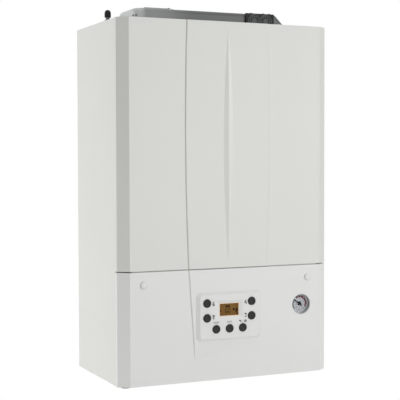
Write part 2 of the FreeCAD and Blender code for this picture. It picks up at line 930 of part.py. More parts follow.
def island_outline(side_inset, end_inset, corner):
    """The control island's outline with its corners cut."""
    half = f"island_half - {side_inset}"
    low = f"island_foot + {end_inset}"
    high = f"island_top - {end_inset}"
    right = [
        (f"{half} - {corner}", low),
        (half, f"{low} + {corner}"),
        (half, f"{high} - {corner}"),
        (f"{half} - {corner}", high),
    ]
    left = [(f"-({x})", z) for x, z in reversed(right)]
    return right + left


def make_control_fascia():
    body = cover_shell("control_fascia", "fascia_wall", "floor_z", "fascia_top")
    foot = "band_foot"
    band = new_sketch(body, "fascia_band", "XZ_Plane", "case_depth")
    draw_outline(band, [
        ("-band_foot_half", foot),
        ("band_foot_half", foot),
        ("band_split_half", "fascia_top"),
        ("-band_split_half", "fascia_top"),
    ])
    pad(body, band, "fascia_band_pad", "band_rise")
    fade = new_sketch(body, "fascia_fade", "YZ_Plane", "-half_width")
    draw_outline(fade, [
        ("front_y", foot),
        ("front_y - band_rise", f"{foot} + band_fade"),
        ("front_y - band_rise", foot),
    ])
    pocket(body, fade, "fascia_fade_cut", "case_width", along_normal=True)
    base = new_sketch(body, "island_base", "XZ_Plane", "case_depth + band_rise")
    draw_outline(base, island_outline("0", "0", "island_corner"))
    face = new_sketch(body, "island_face", "XZ_Plane", "-island_front")
    draw_outline(face, island_outline("island_slope", "island_end_slope", "island_face_corner"))
    island = body.newObject("PartDesign::AdditiveLoft", "island")
    island.Profile = base
    island.Sections = [face]
    hollow = new_sketch(body, "island_hollow_outline", "XZ_Plane", "-box_front")
    draw_outline(hollow, island_outline("(island_slope + fascia_wall)", "(island_end_slope + fascia_wall)",
                                        "island_face_corner"))
    pocket(body, hollow, "island_hollow", "box_front - island_inside", along_normal=True)
    holes = new_sketch(body, "button_holes_outline", "XZ_Plane", "-island_front")
    for label, x, drop in BUTTONS:
        draw_circle(holes, (x, f"split_z - {drop}"), "button_radius + free_gap")
    pocket(body, holes, "button_holes", "fascia_wall")
    window = ("window_z - window_height / 2", "window_z + window_height / 2")
    recess = ("window_z - recess_height / 2", "window_z + recess_height / 2")
    mouth = new_sketch(body, "recess_mouth", "XZ_Plane", "-island_front")
    draw_outline(mouth, rectangle("recess_half", *recess))
    throat = new_sketch(body, "recess_throat", "XZ_Plane", "-island_front - recess_depth")
    draw_outline(throat, rectangle("window_half", *window))
    funnel = body.newObject("PartDesign::SubtractiveLoft", "recess")
    funnel.Profile = mouth
    funnel.Sections = [throat]
    opening = new_sketch(body, "window_outline", "XZ_Plane", "-island_front")
    draw_outline(opening, rectangle("window_half", *window))
    pocket(body, opening, "window_opening", "fascia_wall")
    others = new_sketch(body, "round_holes_outline", "XZ_Plane", "case_depth")
    draw_circle(others, ("gauge_x", "gauge_z"), "gauge_radius + running_gap")
    draw_circle(others, ("plug_x", "plug_z"), "plug_shank_radius + running_gap")
    draw_circle(others, ("-plug_x", "plug_z"), "plug_shank_radius + running_gap")
    pocket(body, others, "round_holes", "fascia_wall")
    piece("control_fascia", body)


def make_control_box():
    across = ("-box_half", "box_half")
    shell = cut(
        "box_shell",
        box("box_block", across, ("box_front", "box_back"), ("box_z", "box_top")),
        box("box_hollow", ("box_wall - box_half", "box_half - box_wall"),
            ("box_front - overrun", "box_back - box_wall"), ("box_z + box_wall", "box_top - box_wall")),
    )
    lug = ("box_half - hinge_lug_width", "box_half")
    pin = ("box_half", "box_half + hinge_pin_length")
    shapes = [shell]
    for side, lug_xs, pin_xs in (("right", lug, pin), ("left", mirrored(*lug), mirrored(*pin))):
        shapes.append(box(side + "_lug", lug_xs, ("box_back - hinge_lug_half", "hinge_y + hinge_lug_half"),
                          ("hinge_z - hinge_lug_half", "box_z + box_wall")))
        shapes.append(rod(side + "_pin", "x", ("hinge_y", "hinge_z"), "hinge_pin_radius", pin_xs))
    piece("control_box", fuse("control_box", *shapes))


def make_screw_caps():
    caps = []
    for side, x in (("left", "-plug_x"), ("right", "plug_x")):
        caps.append(turned(
            side + "_plug", "-y", (x, "front_y", "plug_z"),
            [
                ("0", "-plug_shank_length"),
                ("plug_shank_radius", "-plug_shank_length"),
                ("plug_shank_radius", "0"),
                ("plug_head_radius", "0"),
                ("plug_head_radius", "plug_rim"),
                ("plug_crown_radius", "plug_dome"),
                ("0", "plug_dome"),
            ],
            {4: ("plug_crown_radius + (plug_head_radius - plug_crown_radius) * sqrt(2) / 2",
                 "plug_rim + (plug_dome - plug_rim) * sqrt(2) / 2")},
        ))
    piece("screw_caps", group("screw_caps", *caps))


def make_display():
    half = "window_half + display_margin"
    low = "window_z - window_height / 2 - display_margin"
    high = "window_z + window_height / 2 + display_margin"
    piece("display_module", box("display_module", (f"-({half})", half), ("island_inside",
        "board_front"), (low, high)))
    board = box("control_board", ("-board_half", "board_half"), ("board_front",
        "board_front + board_thickness"),
                ("island_z - board_height / 2", "island_z + board_height / 2"))
    piece("control_board", board)


def make_buttons():
    back = "fascia_wall + button_rise"
    flange_end = f"{back} + running_gap + button_flange"
    stem_end = f"{back} + board_set - button_travel - free_gap"
    for label, x, drop in BUTTONS:
        piece(label, turned(
            label, "y", (x, "island_front - button_rise", f"split_z - {drop}"),
            [
                ("0", "0"),
                ("button_radius - button_edge", "0"),
                ("button_radius", "button_edge"),
                ("button_radius", f"{back} + running_gap"),
                ("button_flange_radius", f"{back} + running_gap"),
                ("button_flange_radius", flange_end),
                ("button_stem_radius", flange_end),
                ("button_stem_radius", stem_end),
                ("0", stem_end),
            ],
        ))


def make_gauge():
    at = ("gauge_x", "gauge_front", "gauge_z")
    piece("gauge_case", turned("gauge_case", "y", at, [
        ("gauge_bore", "0"),
        ("gauge_radius", "0"),
        ("gauge_radius", "gauge_depth"),
        ("gauge_stem_radius", "gauge_depth"),
        ("gauge_stem_radius", "gauge_depth + gauge_stem_length"),
        ("0", "gauge_depth + gauge_stem_length"),
        ("0", "gauge_depth - gauge_wall"),
        ("gauge_bore", "gauge_depth - gauge_wall"),
    ]))
    lens_back = "gauge_lens_set + gauge_lens_thickness"
    piece("gauge_lens", turned("gauge_lens", "y", at, [
        ("0", "gauge_lens_set"),
        ("gauge_bore", "gauge_lens_set"),
        ("gauge_bore", lens_back),
        ("0", lens_back),
    ]))
    dial_back = "gauge_dial_set + gauge_dial_thickness"
    piece("gauge_dial", turned("gauge_dial", "y", at, [
        ("needle_arbor_radius + running_gap", "gauge_dial_set"),
        ("gauge_bore", "gauge_dial_set"),
        ("gauge_bore", dial_back),
        ("needle_arbor_radius + running_gap", dial_back),
    ]))


def make_needle():
    """The needle lies flat before the dial and turns on an arbor that passes through it."""
    body = new_body("gauge_needle")
    blade = new_sketch(body, "needle_outline", "XZ_Plane", "needle_lift")
    draw_outline(blade, [
        ("-needle_tail", "-needle_half"),
        ("-needle_tail", "needle_half"),
        ("needle_length", "0"),
    ])
    pad(body, blade, "needle_blade", "needle_thickness")
    hub = new_sketch(body, "needle_hub_outline", "XZ_Plane", "needle_lift")
    draw_circle(hub, ("0", "0"), "needle_hub_radius")
    pad(body, hub, "needle_hub", "needle_hub_height")
    arbor = new_sketch(body, "needle_arbor_outline", "XZ_Plane", "-gauge_dial_thickness - needle_lift")
    draw_circle(arbor, ("0", "0"), "needle_arbor_radius")
    pad(body, arbor, "needle_arbor", "gauge_dial_thickness + 2 * needle_lift")
    body.Placement = Placement(Vector(), Rotation(Vector(0, -1, 0), NEEDLE_REST_ANGLE))
    place(body, "gauge_x", "dial_front", "gauge_z")
    piece("gauge_needle", body)


# Roof

def upright_distance(edge, spot):
    """How far an upright edge stands from a spot on the plan."""
    middle = edge.CenterOfMass
    return math.hypot(middle.x - spot.x, middle.y - spot.y)


def make_roof_boss():
    """A low raised boss on the hood's roof, left of the flue."""
    body = new_body("hood_boss")
    left = "boss_side_gap - hood_width / 2"
    front = "hood_front + boss_front_gap"
    sections = []
    for level, height, inset in (("foot", "hood_top", "0"), ("top", "hood_top + boss_rise", "boss_taper")):
        section = new_sketch(body, "boss_" + level, "XY_Plane", height)
        xs = (f"{left} + {inset}", f"{left} + boss_width - {inset}")
        ys = (f"{front} + {inset}", f"{front} + boss_depth - {inset}")
        draw_outline(section, [(xs[0], ys[0]), (xs[1], ys[0]), (xs[1], ys[1]), (xs[0], ys[1])])
        sections.append(section)
    loft = body.newObject("PartDesign::AdditiveLoft", "boss")
    loft.Profile = sections[0]
    loft.Sections = sections[1:]
    return body


def hood_block(name, inset, foot):
    """The hood's outline with its corners and rim rounded, drawn in by an inset."""
    body = new_body(name)
    half = f"(hood_width / 2 - {inset})"
    top = f"(hood_top - {inset})"
    slope = f"(hood_slope - {inset} * (2 - sqrt(2)))"
    front = f"(hood_front + {inset})"
    back = f"(hood_back - {inset})"
    outline = new_sketch(body, name + "_outline", "XZ_Plane", f"-{back}")
    draw_outline(outline, [
        (f"-{half}", foot),
        (half, foot),
        (half, f"{top} - {slope}"),
        (f"{half} - {slope}", top),
        (f"-{half}", top),
    ])
    feature = pad(body, outline, name + "_pad", span(front, back))
    doc.recompute()
    corners = (
        ("front_left", -1, front, "hood_front_radius"),
        ("front_right", 1, front, "hood_slope_radius"),
        ("back_left", -1, back, "hood_back_radius"),
        ("back_right", 1, back, "hood_back_radius"),
    )
    for corner, side, depth, radius in corners:
        spot = Vector(side * number(half), number(depth), 0)
        upright = [edge_name for edge_name in edges_along(body.Shape, Vector(0, 0, 1))
                   if upright_distance(body.Shape.getElement(edge_name), spot) < number("running_gap")]
        feature = round_edges(body, feature, upright, f"{name}_{corner}_round", f"{radius} - {inset}")
    rim = [f"Edge{index}" for index, edge in enumerate(body.Shape.Edges, start=1)
           if edge.BoundBox.ZMin > number(f"{foot} + running_gap")]
    round_edges(body, feature, rim, name + "_rim_round", f"hood_edge_radius - {inset}")
    return body


def make_flue_hood():
    shell = cut("hood_shell", hood_block("hood_outside", "0", "plate_top"),
                hood_block("hood_inside", "hood_wall", "plate_top - overrun"))
    flue_hole = rod("hood_flue_hole", "z", ("0", "flue_y"), "flue_outer + free_gap",
                    ("hood_top - hood_wall - overrun", "hood_top + overrun"))
    mouth = box("hood_mouth", ("grille_left + hood_wall", "grille_left + grille_width - hood_wall"),
                ("hood_front - overrun", "hood_front + hood_wall + overrun"),
                ("plate_top + grille_foot_gap + hood_wall", "hood_top - hood_edge_radius"))
    screw_holes = [
        rod(f"hood_screw_hole_{index}", "z", (f"hood_width / 2 * {share}", "hood_front + screw_set"),
            "screw_shank_radius", ("hood_top - hood_wall - overrun", "hood_top + overrun"))
        for index, share in enumerate(HOOD_SCREW_SHARES)
    ]
    roof = fuse("hood_and_boss", shell, make_roof_boss())
    piece("flue_hood", cut("flue_hood", roof, flue_hole, mouth, *screw_holes))


def make_hood_grille():
    depth = ("hood_front - grille_depth", "hood_front")
    low = "plate_top + grille_foot_gap"
    middle = f"{low} + grille_height / 2"
    plate = box("grille_plate", ("grille_left", "grille_left + grille_width"), depth, (low,
        f"{low} + grille_height"))
    holes = []
    bars = []
    for index, share in enumerate(ROSE_SHARES):
        x = f"grille_left + grille_width * {share}"
        at = (x, middle)
        through = ("hood_front - grille_depth - overrun", "hood_front + overrun")
        holes.append(rod(f"rose_hole_{index}", "y", at, "rose_radius", through))
        bars.append(box(f"rose_bar_flat_{index}", (f"{x} - rose_radius", f"{x} + rose_radius"), depth,
                        (f"{middle} - rose_bar / 2", f"{middle} + rose_bar / 2")))
        bars.append(box(f"rose_bar_upright_{index}", (f"{x} - rose_bar / 2", f"{x} + rose_bar / 2"), depth,
                        (f"{middle} - rose_radius", f"{middle} + rose_radius")))
        bars.append(cut(f"rose_ring_{index}",
                        rod(f"rose_ring_outside_{index}", "y", at, "rose_ring_radius", depth),
                        rod(f"rose_ring_inside_{index}", "y", at, "rose_ring_radius - rose_bar", through)))
    piece("hood_grille", fuse("hood_grille", cut("grille_frame", plate, *holes), *bars))


def make_casing_screws():
    screws = []
    for index, share in enumerate(HOOD_SCREW_SHARES):
        screws.append(turned(
            f"hood_screw_{index}", "z", (f"hood_width / 2 * {share}", "hood_front + screw_set", "hood_top"),
            [
                ("0", "-hood_wall"),
                ("screw_shank_radius", "-hood_wall"),
                ("screw_shank_radius", "0"),
                ("screw_head_radius", "0"),
                ("screw_head_radius", "screw_head_height / 2"),
                ("screw_head_radius / 2", "screw_head_height"),
                ("0", "screw_head_height"),
            ],
        ))
    piece("hood_screws", group("hood_screws", *screws))


def make_flue_duct():
    axis = ("0", "flue_y")
    piece("flue_duct", cut(
        "flue_duct",
        rod("duct_outside", "z", axis, "flue_outer", ("cell_top", "hood_top")),
        rod("duct_inside", "z", axis, "flue_radius", ("cell_top - overrun", "hood_top + overrun")),
    ))


# Expansion vessel

def make_expansion_vessel():
    shell = rounded_block("vessel_block", ("-vessel_half", "vessel_half"), ("vessel_front", "-frame_sheet"),
                          ("vessel_foot", "vessel_top"), "vessel_radius")
    hollow = rounded_block("vessel_hollow", ("vessel_wall - vessel_half", "vessel_half - vessel_wall"),
                           ("vessel_front + vessel_wall", "-frame_sheet - vessel_wall"),
                           ("vessel_foot + vessel_wall", "vessel_top - vessel_wall"),
                               "vessel_radius - vessel_wall")
    axis = ("valve_x", "vessel_y")
    port = rod("vessel_port", "z", ("heating_x", "vessel_y"), "vessel_pipe_bore",
               ("vessel_foot - overrun", "vessel_foot + vessel_wall + overrun"))
    stem = rod("valve_stem", "z", axis, "valve_stem_radius",
               ("vessel_top - vessel_wall", "valve_cap_top - valve_cap_roof - free_gap"))
    collar = rod("valve_collar", "z", axis, "valve_collar_radius",
                 ("valve_cap_foot - valve_neck_height - valve_collar_height",
                  "valve_cap_foot - valve_neck_height"))
    piece("expansion_vessel", fuse("expansion_vessel", cut("vessel_shell", shell, hollow, port), stem,
        collar))
    piece("vessel_valve_cap", cut(
        "vessel_valve_cap",
        turned("cap_outside", "z", (*axis, "valve_cap_foot"), [
            ("0", "0"),
            ("valve_cap_radius", "0"),
            ("valve_cap_radius", "valve_cap_height - valve_cap_dome"),
            ("valve_crown_radius", "valve_cap_height"),
            ("0", "valve_cap_height"),
        ], {2: ("valve_crown_radius + (valve_cap_radius - valve_crown_radius) * sqrt(2) / 2",
                "valve_cap_height - valve_cap_dome * (1 - sqrt(2) / 2)")}),
        rod("cap_inside", "z", axis, "valve_stem_radius + running_gap",
            ("valve_cap_foot - overrun", "valve_cap_top - valve_cap_roof")),
    ))
    level = "(manifold_z + manifold_top) / 2"
    pipe("vessel_pipe", [
        ("heating_x", "vessel_y", "vessel_foot"),
        ("heating_x", "vessel_y", level),
        ("heating_x", "plate_front", level),
    ], "vessel_pipe_radius", "vessel_pipe_bore", "vessel_pipe_bend")


# Heat cell

def make_cell_casing():
    block = rounded_block("cell_block", ("cell_left", "cell_right"), ("cell_front", "cell_back"),
                          ("cell_foot", "cell_top"), "cell_radius")
    bore = rod("cell_bore_cut", "y", ("cell_x", "cell_z"), "cell_bore", ("cell_front - overrun",
        "cell_bore_end"))
    flue = rod("cell_flue_cut", "z", ("0", "flue_y"), "flue_radius - flue_ledge", ("cell_z",
        "cell_top + overrun"))
    piece("heat_cell", cut("heat_cell", block, bore, flue))


def bowed_arc(start, heading, end):
    """The arc from start to end that leaves along heading."""
    chord = end - start
    along = Vector(chord).normalize()
    aside = heading - along * heading.dot(along)
    half_turn = heading.getAngle(along)
    middle = (start + end) / 2 + aside.normalize() * (chord.Length / 2 * math.tan(half_turn / 2))
    return Part.Arc(start, middle, end).toShape()


def biarc(start, heading, end, final):
    """Two tangent arcs that join two points with given headings."""
    gap = end - start
    both = gap.dot(heading + final)
    spread = 2 * (1 - heading.dot(final))
    reach = (math.sqrt(both * both + spread * gap.dot(gap)) - both) / spread
    middle = (start + end + (heading - final) * reach) / 2
    return [bowed_arc(start, heading, middle), bowed_arc(middle,
        (end - final * reach - middle).normalize(), end)]


def make_coil():
    radius = number("cell_bore - free_gap - coil_tube_radius")
    tube = number("coil_tube_radius")
    first = number("cell_front + coil_end_gap") + tube
    last = number("cell_bore_end - coil_end_gap") - tube
    steps = 4 * COIL_TURN_COUNT
    climb = (last - first) / steps
    centre = Vector(number("cell_x"), 0, number("cell_z"))

    def spot(step):
        angle = step * math.pi / 2
        return centre + Vector(radius * math.cos(angle), first + climb * step, radius * math.sin(angle))

    def heading(step):
        angle = step * math.pi / 2
        rise = climb / (math.pi / 2)
        return Vector(-radius * math.sin(angle), rise, radius * math.cos(angle)).normalize()

    edges = []
    for step in range(steps):
        edges += biarc(spot(step), heading(step), spot(step + 1), heading(step + 1))
    path = Part.Wire(edges)
    ring = Part.Wire([Part.makeCircle(tube, spot(0), heading(0))])
    coil = doc.addObject("Part::Feature", "cell_coil")
    coil.Shape = path.makePipeShell([ring], True, False)
    coil.Placement = Placement()
    piece("cell_coil", coil)
    print("coil gap to itself", round(climb * 4 - 2 * tube, 2))


def make_burner_door():
    centre = ("cell_x", "cell_z")
    disc = rod("door_disc", "y", centre, "door_radius", ("door_front", "cell_front"))
    arm = box("door_arm", ("cell_x - arm_half", "arm_right"), ("arm_front", "door_front"),
              ("cell_z - arm_half", "cell_z + arm_half"))
    channel = box("door_channel", ("cell_x - arm_half + arm_wall", "arm_right - arm_wall"),
                  ("arm_front + arm_wall", "door_front - arm_wall"),
                  ("cell_z - arm_half + arm_wall", "cell_z + arm_half - arm_wall"))
    mouth = rod("door_mouth", "y", centre, "door_mouth_radius", ("door_front - arm_wall",
        "cell_front + overrun"))
    window = box("door_window", ("fan_left + fan_wall", "arm_right - arm_wall"),
                 ("door_front - arm_wall", "door_front + overrun"),
                 ("fan_foot + fan_wall", "fan_top - fan_wall"))
    holes = [
        rod(f"electrode_hole_{side}", "y", (x, "cell_z - electrode_drop"), "electrode_radius + running_gap",
            ("door_front - overrun", "cell_front + overrun"))
        for side, x in ELECTRODES
    ]
    piece("burner_door", cut("burner_door", fuse("door_casting", disc, arm), channel, mouth, window,
        *holes))
    nuts = []
    for index, share in enumerate(NUT_SHARES):
        nut = doc.addObject("Part::Prism", f"door_nut_{index}")
        nut.Polygon = 6
        bind(nut, "Circumradius", "nut_width / sqrt(3)")
        bind(nut, "Height", "nut_height")
        nut.Placement = Placement(Vector(), TURN["-y"])
        angle = f"{360 * share} deg"
        place(nut, f"cell_x + (door_radius - nut_inset) * cos({angle})", "door_front",
              f"cell_z + (door_radius - nut_inset) * sin({angle})")
        nuts.append(nut)
    piece("door_nuts", group("door_nuts", *nuts))


ELECTRODES = (
    ("left", "cell_x - electrode_spread"),
    ("right", "cell_x + electrode_spread"),
)


def make_burner():
    piece("burner_tube", turned("burner_tube", "y", ("cell_x", "cell_front", "cell_z"), [
        ("burner_radius - burner_wall", "0"),
        ("burner_radius", "0"),
        ("burner_radius", "burner_length"),
        ("0", "burner_length"),
        ("0", "burner_length - burner_wall"),
        ("burner_radius - burner_wall", "burner_length - burner_wall"),
    ]))
    rods = [
        rod("electrode_" + side, "y", (x, "cell_z - electrode_drop"), "electrode_radius",
            ("door_front - electrode_outside", "cell_front + electrode_inside"))
        for side, x in ELECTRODES
    ]
    piece("ignition_electrodes", group("ignition_electrodes", *rods))


# Fan

def make_fan():
    axis = ("fan_x", "fan_y")
    spout_z = ("fan_foot", "fan_top")
    inside_z = ("fan_foot + fan_wall", "fan_top - fan_wall")
    drum = rod("fan_drum", "z", axis, "fan_radius", spout_z)
    spout = box("fan_spout", ("fan_left", "arm_right"), ("door_front", "fan_y"), spout_z)
    drum_inside = rod("fan_drum_inside", "z", axis, "fan_radius - fan_wall", inside_z)
    spout_inside = box("fan_spout_inside", ("fan_left + fan_wall", "arm_right - fan_wall"),
                       ("door_front - overrun", "fan_y"), inside_z)
    inlet = rod("fan_inlet", "z", axis, "mixer_bore", ("fan_foot - overrun", "fan_foot + fan_wall"))
    shaft_hole = rod("fan_shaft_hole", "z", axis, "fan_shaft_radius + free_gap",
                     ("fan_top - fan_wall", "fan_top + overrun"))
    piece("fan_casing", cut("fan_casing", fuse("fan_outside", drum, spout),
                            drum_inside, spout_inside, inlet, shaft_hole))

    body = new_body("fan_impeller")
    tip = "fan_radius - fan_wall - fan_tip_gap"
    plate = new_sketch(body, "fan_plate_outline", "XY_Plane", "-fan_plate")
    draw_circle(plate, ("0", "0"), tip)
    pad(body, plate, "fan_plate_pad", "fan_plate")
    hub = new_sketch(body, "fan_hub_outline", "XY_Plane", "-fan_plate - fan_blade_height / 2")
    draw_circle(hub, ("0", "0"), "fan_hub_radius")
    pad(body, hub, "fan_hub", "fan_plate + fan_blade_height / 2")
    shaft = new_sketch(body, "fan_shaft_outline", "XY_Plane", "-fan_plate")
    draw_circle(shaft, ("0", "0"), "fan_shaft_radius")
    pad(body, shaft, "fan_shaft", "fan_plate + fan_plate_gap + fan_wall + fan_shaft_depth")
    blade = new_sketch(body, "fan_blade_outline", "XY_Plane", "-fan_plate - fan_blade_height")
    draw_outline(blade, [
        ("fan_eye_radius", "-fan_blade_thickness / 2"),
        (f"{tip} - fan_blade_thickness", "-fan_blade_thickness / 2"),
        (f"{tip} - fan_blade_thickness", "fan_blade_thickness / 2"),
        ("fan_eye_radius", "fan_blade_thickness / 2"),
    ])
    blade_pad = pad(body, blade, "fan_blade", "fan_blade_height")
    add_polar_pattern(body, blade_pad, "fan_blades", "Z_Axis", FAN_BLADE_COUNT)
    place(body, "fan_x", "fan_y", "fan_plate_z")
    piece("fan_impeller", body)

    motor_top = "fan_top + motor_height"
    socket = rod("fan_motor_socket", "z", axis, "fan_shaft_radius + running_gap",
                 ("fan_top - overrun", "fan_top + fan_shaft_depth + free_gap"))
    can = rod("fan_motor_can", "z", axis, "motor_radius", ("fan_top", motor_top))
    cap = rod("fan_motor_cap", "z", axis, "motor_cap_radius", (motor_top,
        f"{motor_top} + motor_cap_height"))
    piece("fan_motor", cut("fan_motor", fuse("fan_motor_outside", can, cap), socket))


def add_polar_pattern(body, feature, name, role, count):
    pattern = body.newObject("PartDesign::PolarPattern", name)
    pattern.Originals = [feature]
    pattern.Axis = (origin_part(body, role), [""])
    pattern.Angle = 360
    pattern.Occurrences = count
    body.Tip = pattern


def make_air_mixer():
    axis = ("fan_x", "fan_y")
    barrel = rod("mixer_barrel", "z", axis, "mixer_radius", ("mixer_foot", "fan_foot"))
    nipple = rod("mixer_nipple", "x", ("fan_y", "nipple_z"), "nipple_radius", ("nipple_end",
        "fan_x - mixer_bore"))
    bore = rod("mixer_bore_cut", "z", axis, "mixer_bore", ("mixer_foot - overrun", "fan_foot + overrun"))
    port = rod("mixer_port", "x", ("fan_y", "nipple_z"), "gas_pipe_bore", ("nipple_end - overrun", "fan_x"))
    piece("air_mixer", cut("air_mixer", fuse("mixer_outside", barrel, nipple), bore, port))


# Gas line

def tail_shapes(name, x, radius, top):
    """A pipe tail below the casing: threaded end, relieved neck and the bore that runs through."""
    axis = (x, "tail_y")
    thread = rod(name + "_thread", "z", axis, radius, ("tail_end", "thread_end"))
    neck = rod(name + "_neck", "z", axis, f"{radius} - tail_relief", ("thread_end", top))
    bore = rod(name + "_bore", "z", axis, f"{radius} - tail_relief - tail_wall", ("tail_end - overrun",
        top))
    return [thread, neck], bore


def make_gas_line():
    solids, bore = tail_shapes("gas_tail", "0", "heating_thread_radius", "gas_valve_base")
    piece("gas_inlet_pipe", cut("gas_inlet_pipe", fuse("gas_tail_outside", *solids), bore))
    middle = "(gas_valve_base + gas_valve_top) / 2"
    right = "gas_valve_width / 2"
    block = box("gas_block", ("-gas_valve_width / 2", right),
                ("fan_y - gas_valve_depth / 2", "fan_y + gas_valve_depth / 2"),
                ("gas_valve_base", "gas_valve_top - gas_flange_height"))
    flange = box("gas_top_flange", ("-gas_flange / 2", "gas_flange / 2"),
                 ("fan_y - gas_flange / 2", "fan_y + gas_flange / 2"),
                 ("gas_valve_top - gas_flange_height", "gas_valve_top"))
    coils = [
        rod(f"gas_coil_{level}", "x", ("fan_y", f"{middle} {sign} gas_coil_radius {sign} free_gap"),
            "gas_coil_radius", (right, f"{right} + gas_coil_length"))
        for level, sign in (("lower", "-"), ("upper", "+"))
    ]
    piece("gas_valve", fuse("gas_valve", block, flange, *coils))
    pipe("gas_supply_pipe", [
        ("0", "fan_y", "gas_valve_top"),
        ("0", "fan_y", "gas_turn_z"),
        ("gas_riser_x", "fan_y", "gas_turn_z"),
        ("gas_riser_x", "fan_y", "nipple_z"),
        ("nipple_end", "fan_y", "nipple_z"),
    ], "gas_pipe_radius", "gas_pipe_bore", "gas_pipe_bend")


# Hydraulics

def make_flow_manifold():
    across = mirrored("manifold_inner", "manifold_outer")
    block = box("flow_block", across, ("manifold_front", "plate_front"), ("manifold_z", "manifold_top"))
    axis = ("-heating_x", "tail_y")
    neck = rod("diverter_neck", "z", axis, "diverter_neck_radius", ("manifold_top", "neck_top"))
    flow_solids, flow_bore = tail_shapes("flow_tail", "-heating_x", "heating_thread_radius", "chamber_foot")
    hot_solids, hot_bore = tail_shapes("hot_tail", "-tail_pitch", "water_thread_radius", "chamber_foot")
    chamber = rod("diverter_chamber", "z", axis, "diverter_chamber_radius", ("chamber_foot", "chamber_top"))
    guide = rod("diverter_guide", "z", axis, "spindle_radius + running_gap", ("chamber_top",
        "neck_top + overrun"))
    solids = fuse("flow_outside", block, neck, *flow_solids, *hot_solids)
    piece("flow_manifold", cut("flow_manifold", solids, flow_bore, hot_bore, chamber, guide))
    piece("diverter_spindle", turned("diverter_spindle", "z", (*axis, "plug_foot"), [
        ("0", "0"),
        ("diverter_plug_radius", "0"),
        ("diverter_plug_radius", "diverter_plug_height"),
        ("spindle_radius", "diverter_plug_height"),
        ("spindle_radius", "neck_top + spindle_rise - plug_foot"),
        ("0", "neck_top + spindle_rise - plug_foot"),
    ]))
    half = "actuator_width / 2"
    housing = box("actuator_block", (f"-heating_x - {half}", f"-heating_x + {half}"),
                  (f"tail_y - {half}", f"tail_y + {half}"), ("neck_top", "neck_top + actuator_height"))
    socket = rod("actuator_socket", "z", axis, "actuator_socket_radius",
                 ("neck_top - overrun", "neck_top + spindle_rise + diverter_travel"))
    piece("diverter_actuator", cut("diverter_actuator", housing, socket))


def make_return_manifold():
    across = ("manifold_inner", "manifold_outer")
    block = box("return_block", across, ("manifold_front", "plate_front"), ("manifold_z", "manifold_top"))
    return_solids, return_bore = tail_shapes("return_tail", "heating_x", "heating_thread_radius",
        "chamber_foot")
    cold_solids, cold_bore = tail_shapes("cold_tail", "tail_pitch", "water_thread_radius", "chamber_foot")
    stem = rod("filler_stem", "z", ("filler_x", "tail_y"), "filler_stem_radius", ("filler_stem_end",
        "manifold_z"))
    solids = fuse("return_outside", block, stem, *return_solids, *cold_solids)
    piece("return_manifold", cut("return_manifold", solids, return_bore, cold_bore))


def make_filling_knob():
    body = new_body("filling_knob")
    hub = new_sketch(body, "filler_hub_outline", "XY_Plane", "-filler_hub_height")
    draw_circle(hub, ("0", "0"), "filler_hub_radius")
    pad(body, hub, "filler_hub", "filler_hub_height")
    wing = new_sketch(body, "filler_wing_outline", "XY_Plane", "-filler_hub_height")
    draw_outline(wing, rectangle("filler_wing_length", "-filler_wing_thickness / 2",
        "filler_wing_thickness / 2"))
    pad(body, wing, "filler_wing", "filler_hub_height - filler_socket_depth")
    socket = new_sketch(body, "filler_socket_outline", "XY_Plane", "0")
    draw_circle(socket, ("0", "0"), "filler_stem_radius + running_gap")
    pocket(body, socket, "filler_socket", "filler_socket_depth")
    place(body, "filler_x", "tail_y", "filler_stem_end + filler_socket_depth - free_gap")
    piece("filling_knob", body)


def make_plate_exchanger():
    """A brazed stack: two end plates with a ribbed pack between them."""
    rise = ("floor_z + plate_foot", "floor_z + plate_foot + plate_height")
    inner_rise = (f"{rise[0]} + plate_ridge", f"{rise[1]} - plate_ridge")
    front = rounded_block("plate_front_cover", ("-plate_half", "plate_half"),
                          ("plate_front", "plate_front + plate_cover"), rise, "plate_height / 5")
    back = rounded_block("plate_back_cover", ("-plate_half", "plate_half"),
                         ("plate_back - plate_cover", "plate_back"), rise, "plate_height / 5")
    core = rounded_block("plate_core", ("plate_ridge - plate_half", "plate_half - plate_ridge"),
                         ("plate_front + plate_cover", "plate_back - plate_cover"), inner_rise,
                             "plate_height / 5")
    piece("plate_exchanger", fuse("plate_exchanger", front, back, core))


def make_water_pipes():
    cell_left_port = "cell_left + cell_port_inset"
    turn = "cell_foot - flow_pipe_drop"
    pipe("flow_pipe", [
        (cell_left_port, "pipe_y", "cell_foot"),
        (cell_left_port, "pipe_y", turn),
        ("flow_pipe_x", "pipe_y", f"{turn} - flow_pipe_slant"),
        ("flow_pipe_x", "pipe_y", "manifold_top"),
    ], "water_pipe_radius", "water_pipe_bore", "water_pipe_bend")
    cell_right_port = "cell_right - cell_port_inset"
    pipe("return_pipe", [
        ("heating_x", "pipe_y", "pump_outlet"),
        ("heating_x", "pipe_y", "return_turn_z"),
        (cell_right_port, "pipe_y", "return_turn_z"),
        (cell_right_port, "pipe_y", "cell_foot"),
    ], "water_pipe_radius", "water_pipe_bore", "water_pipe_bend")


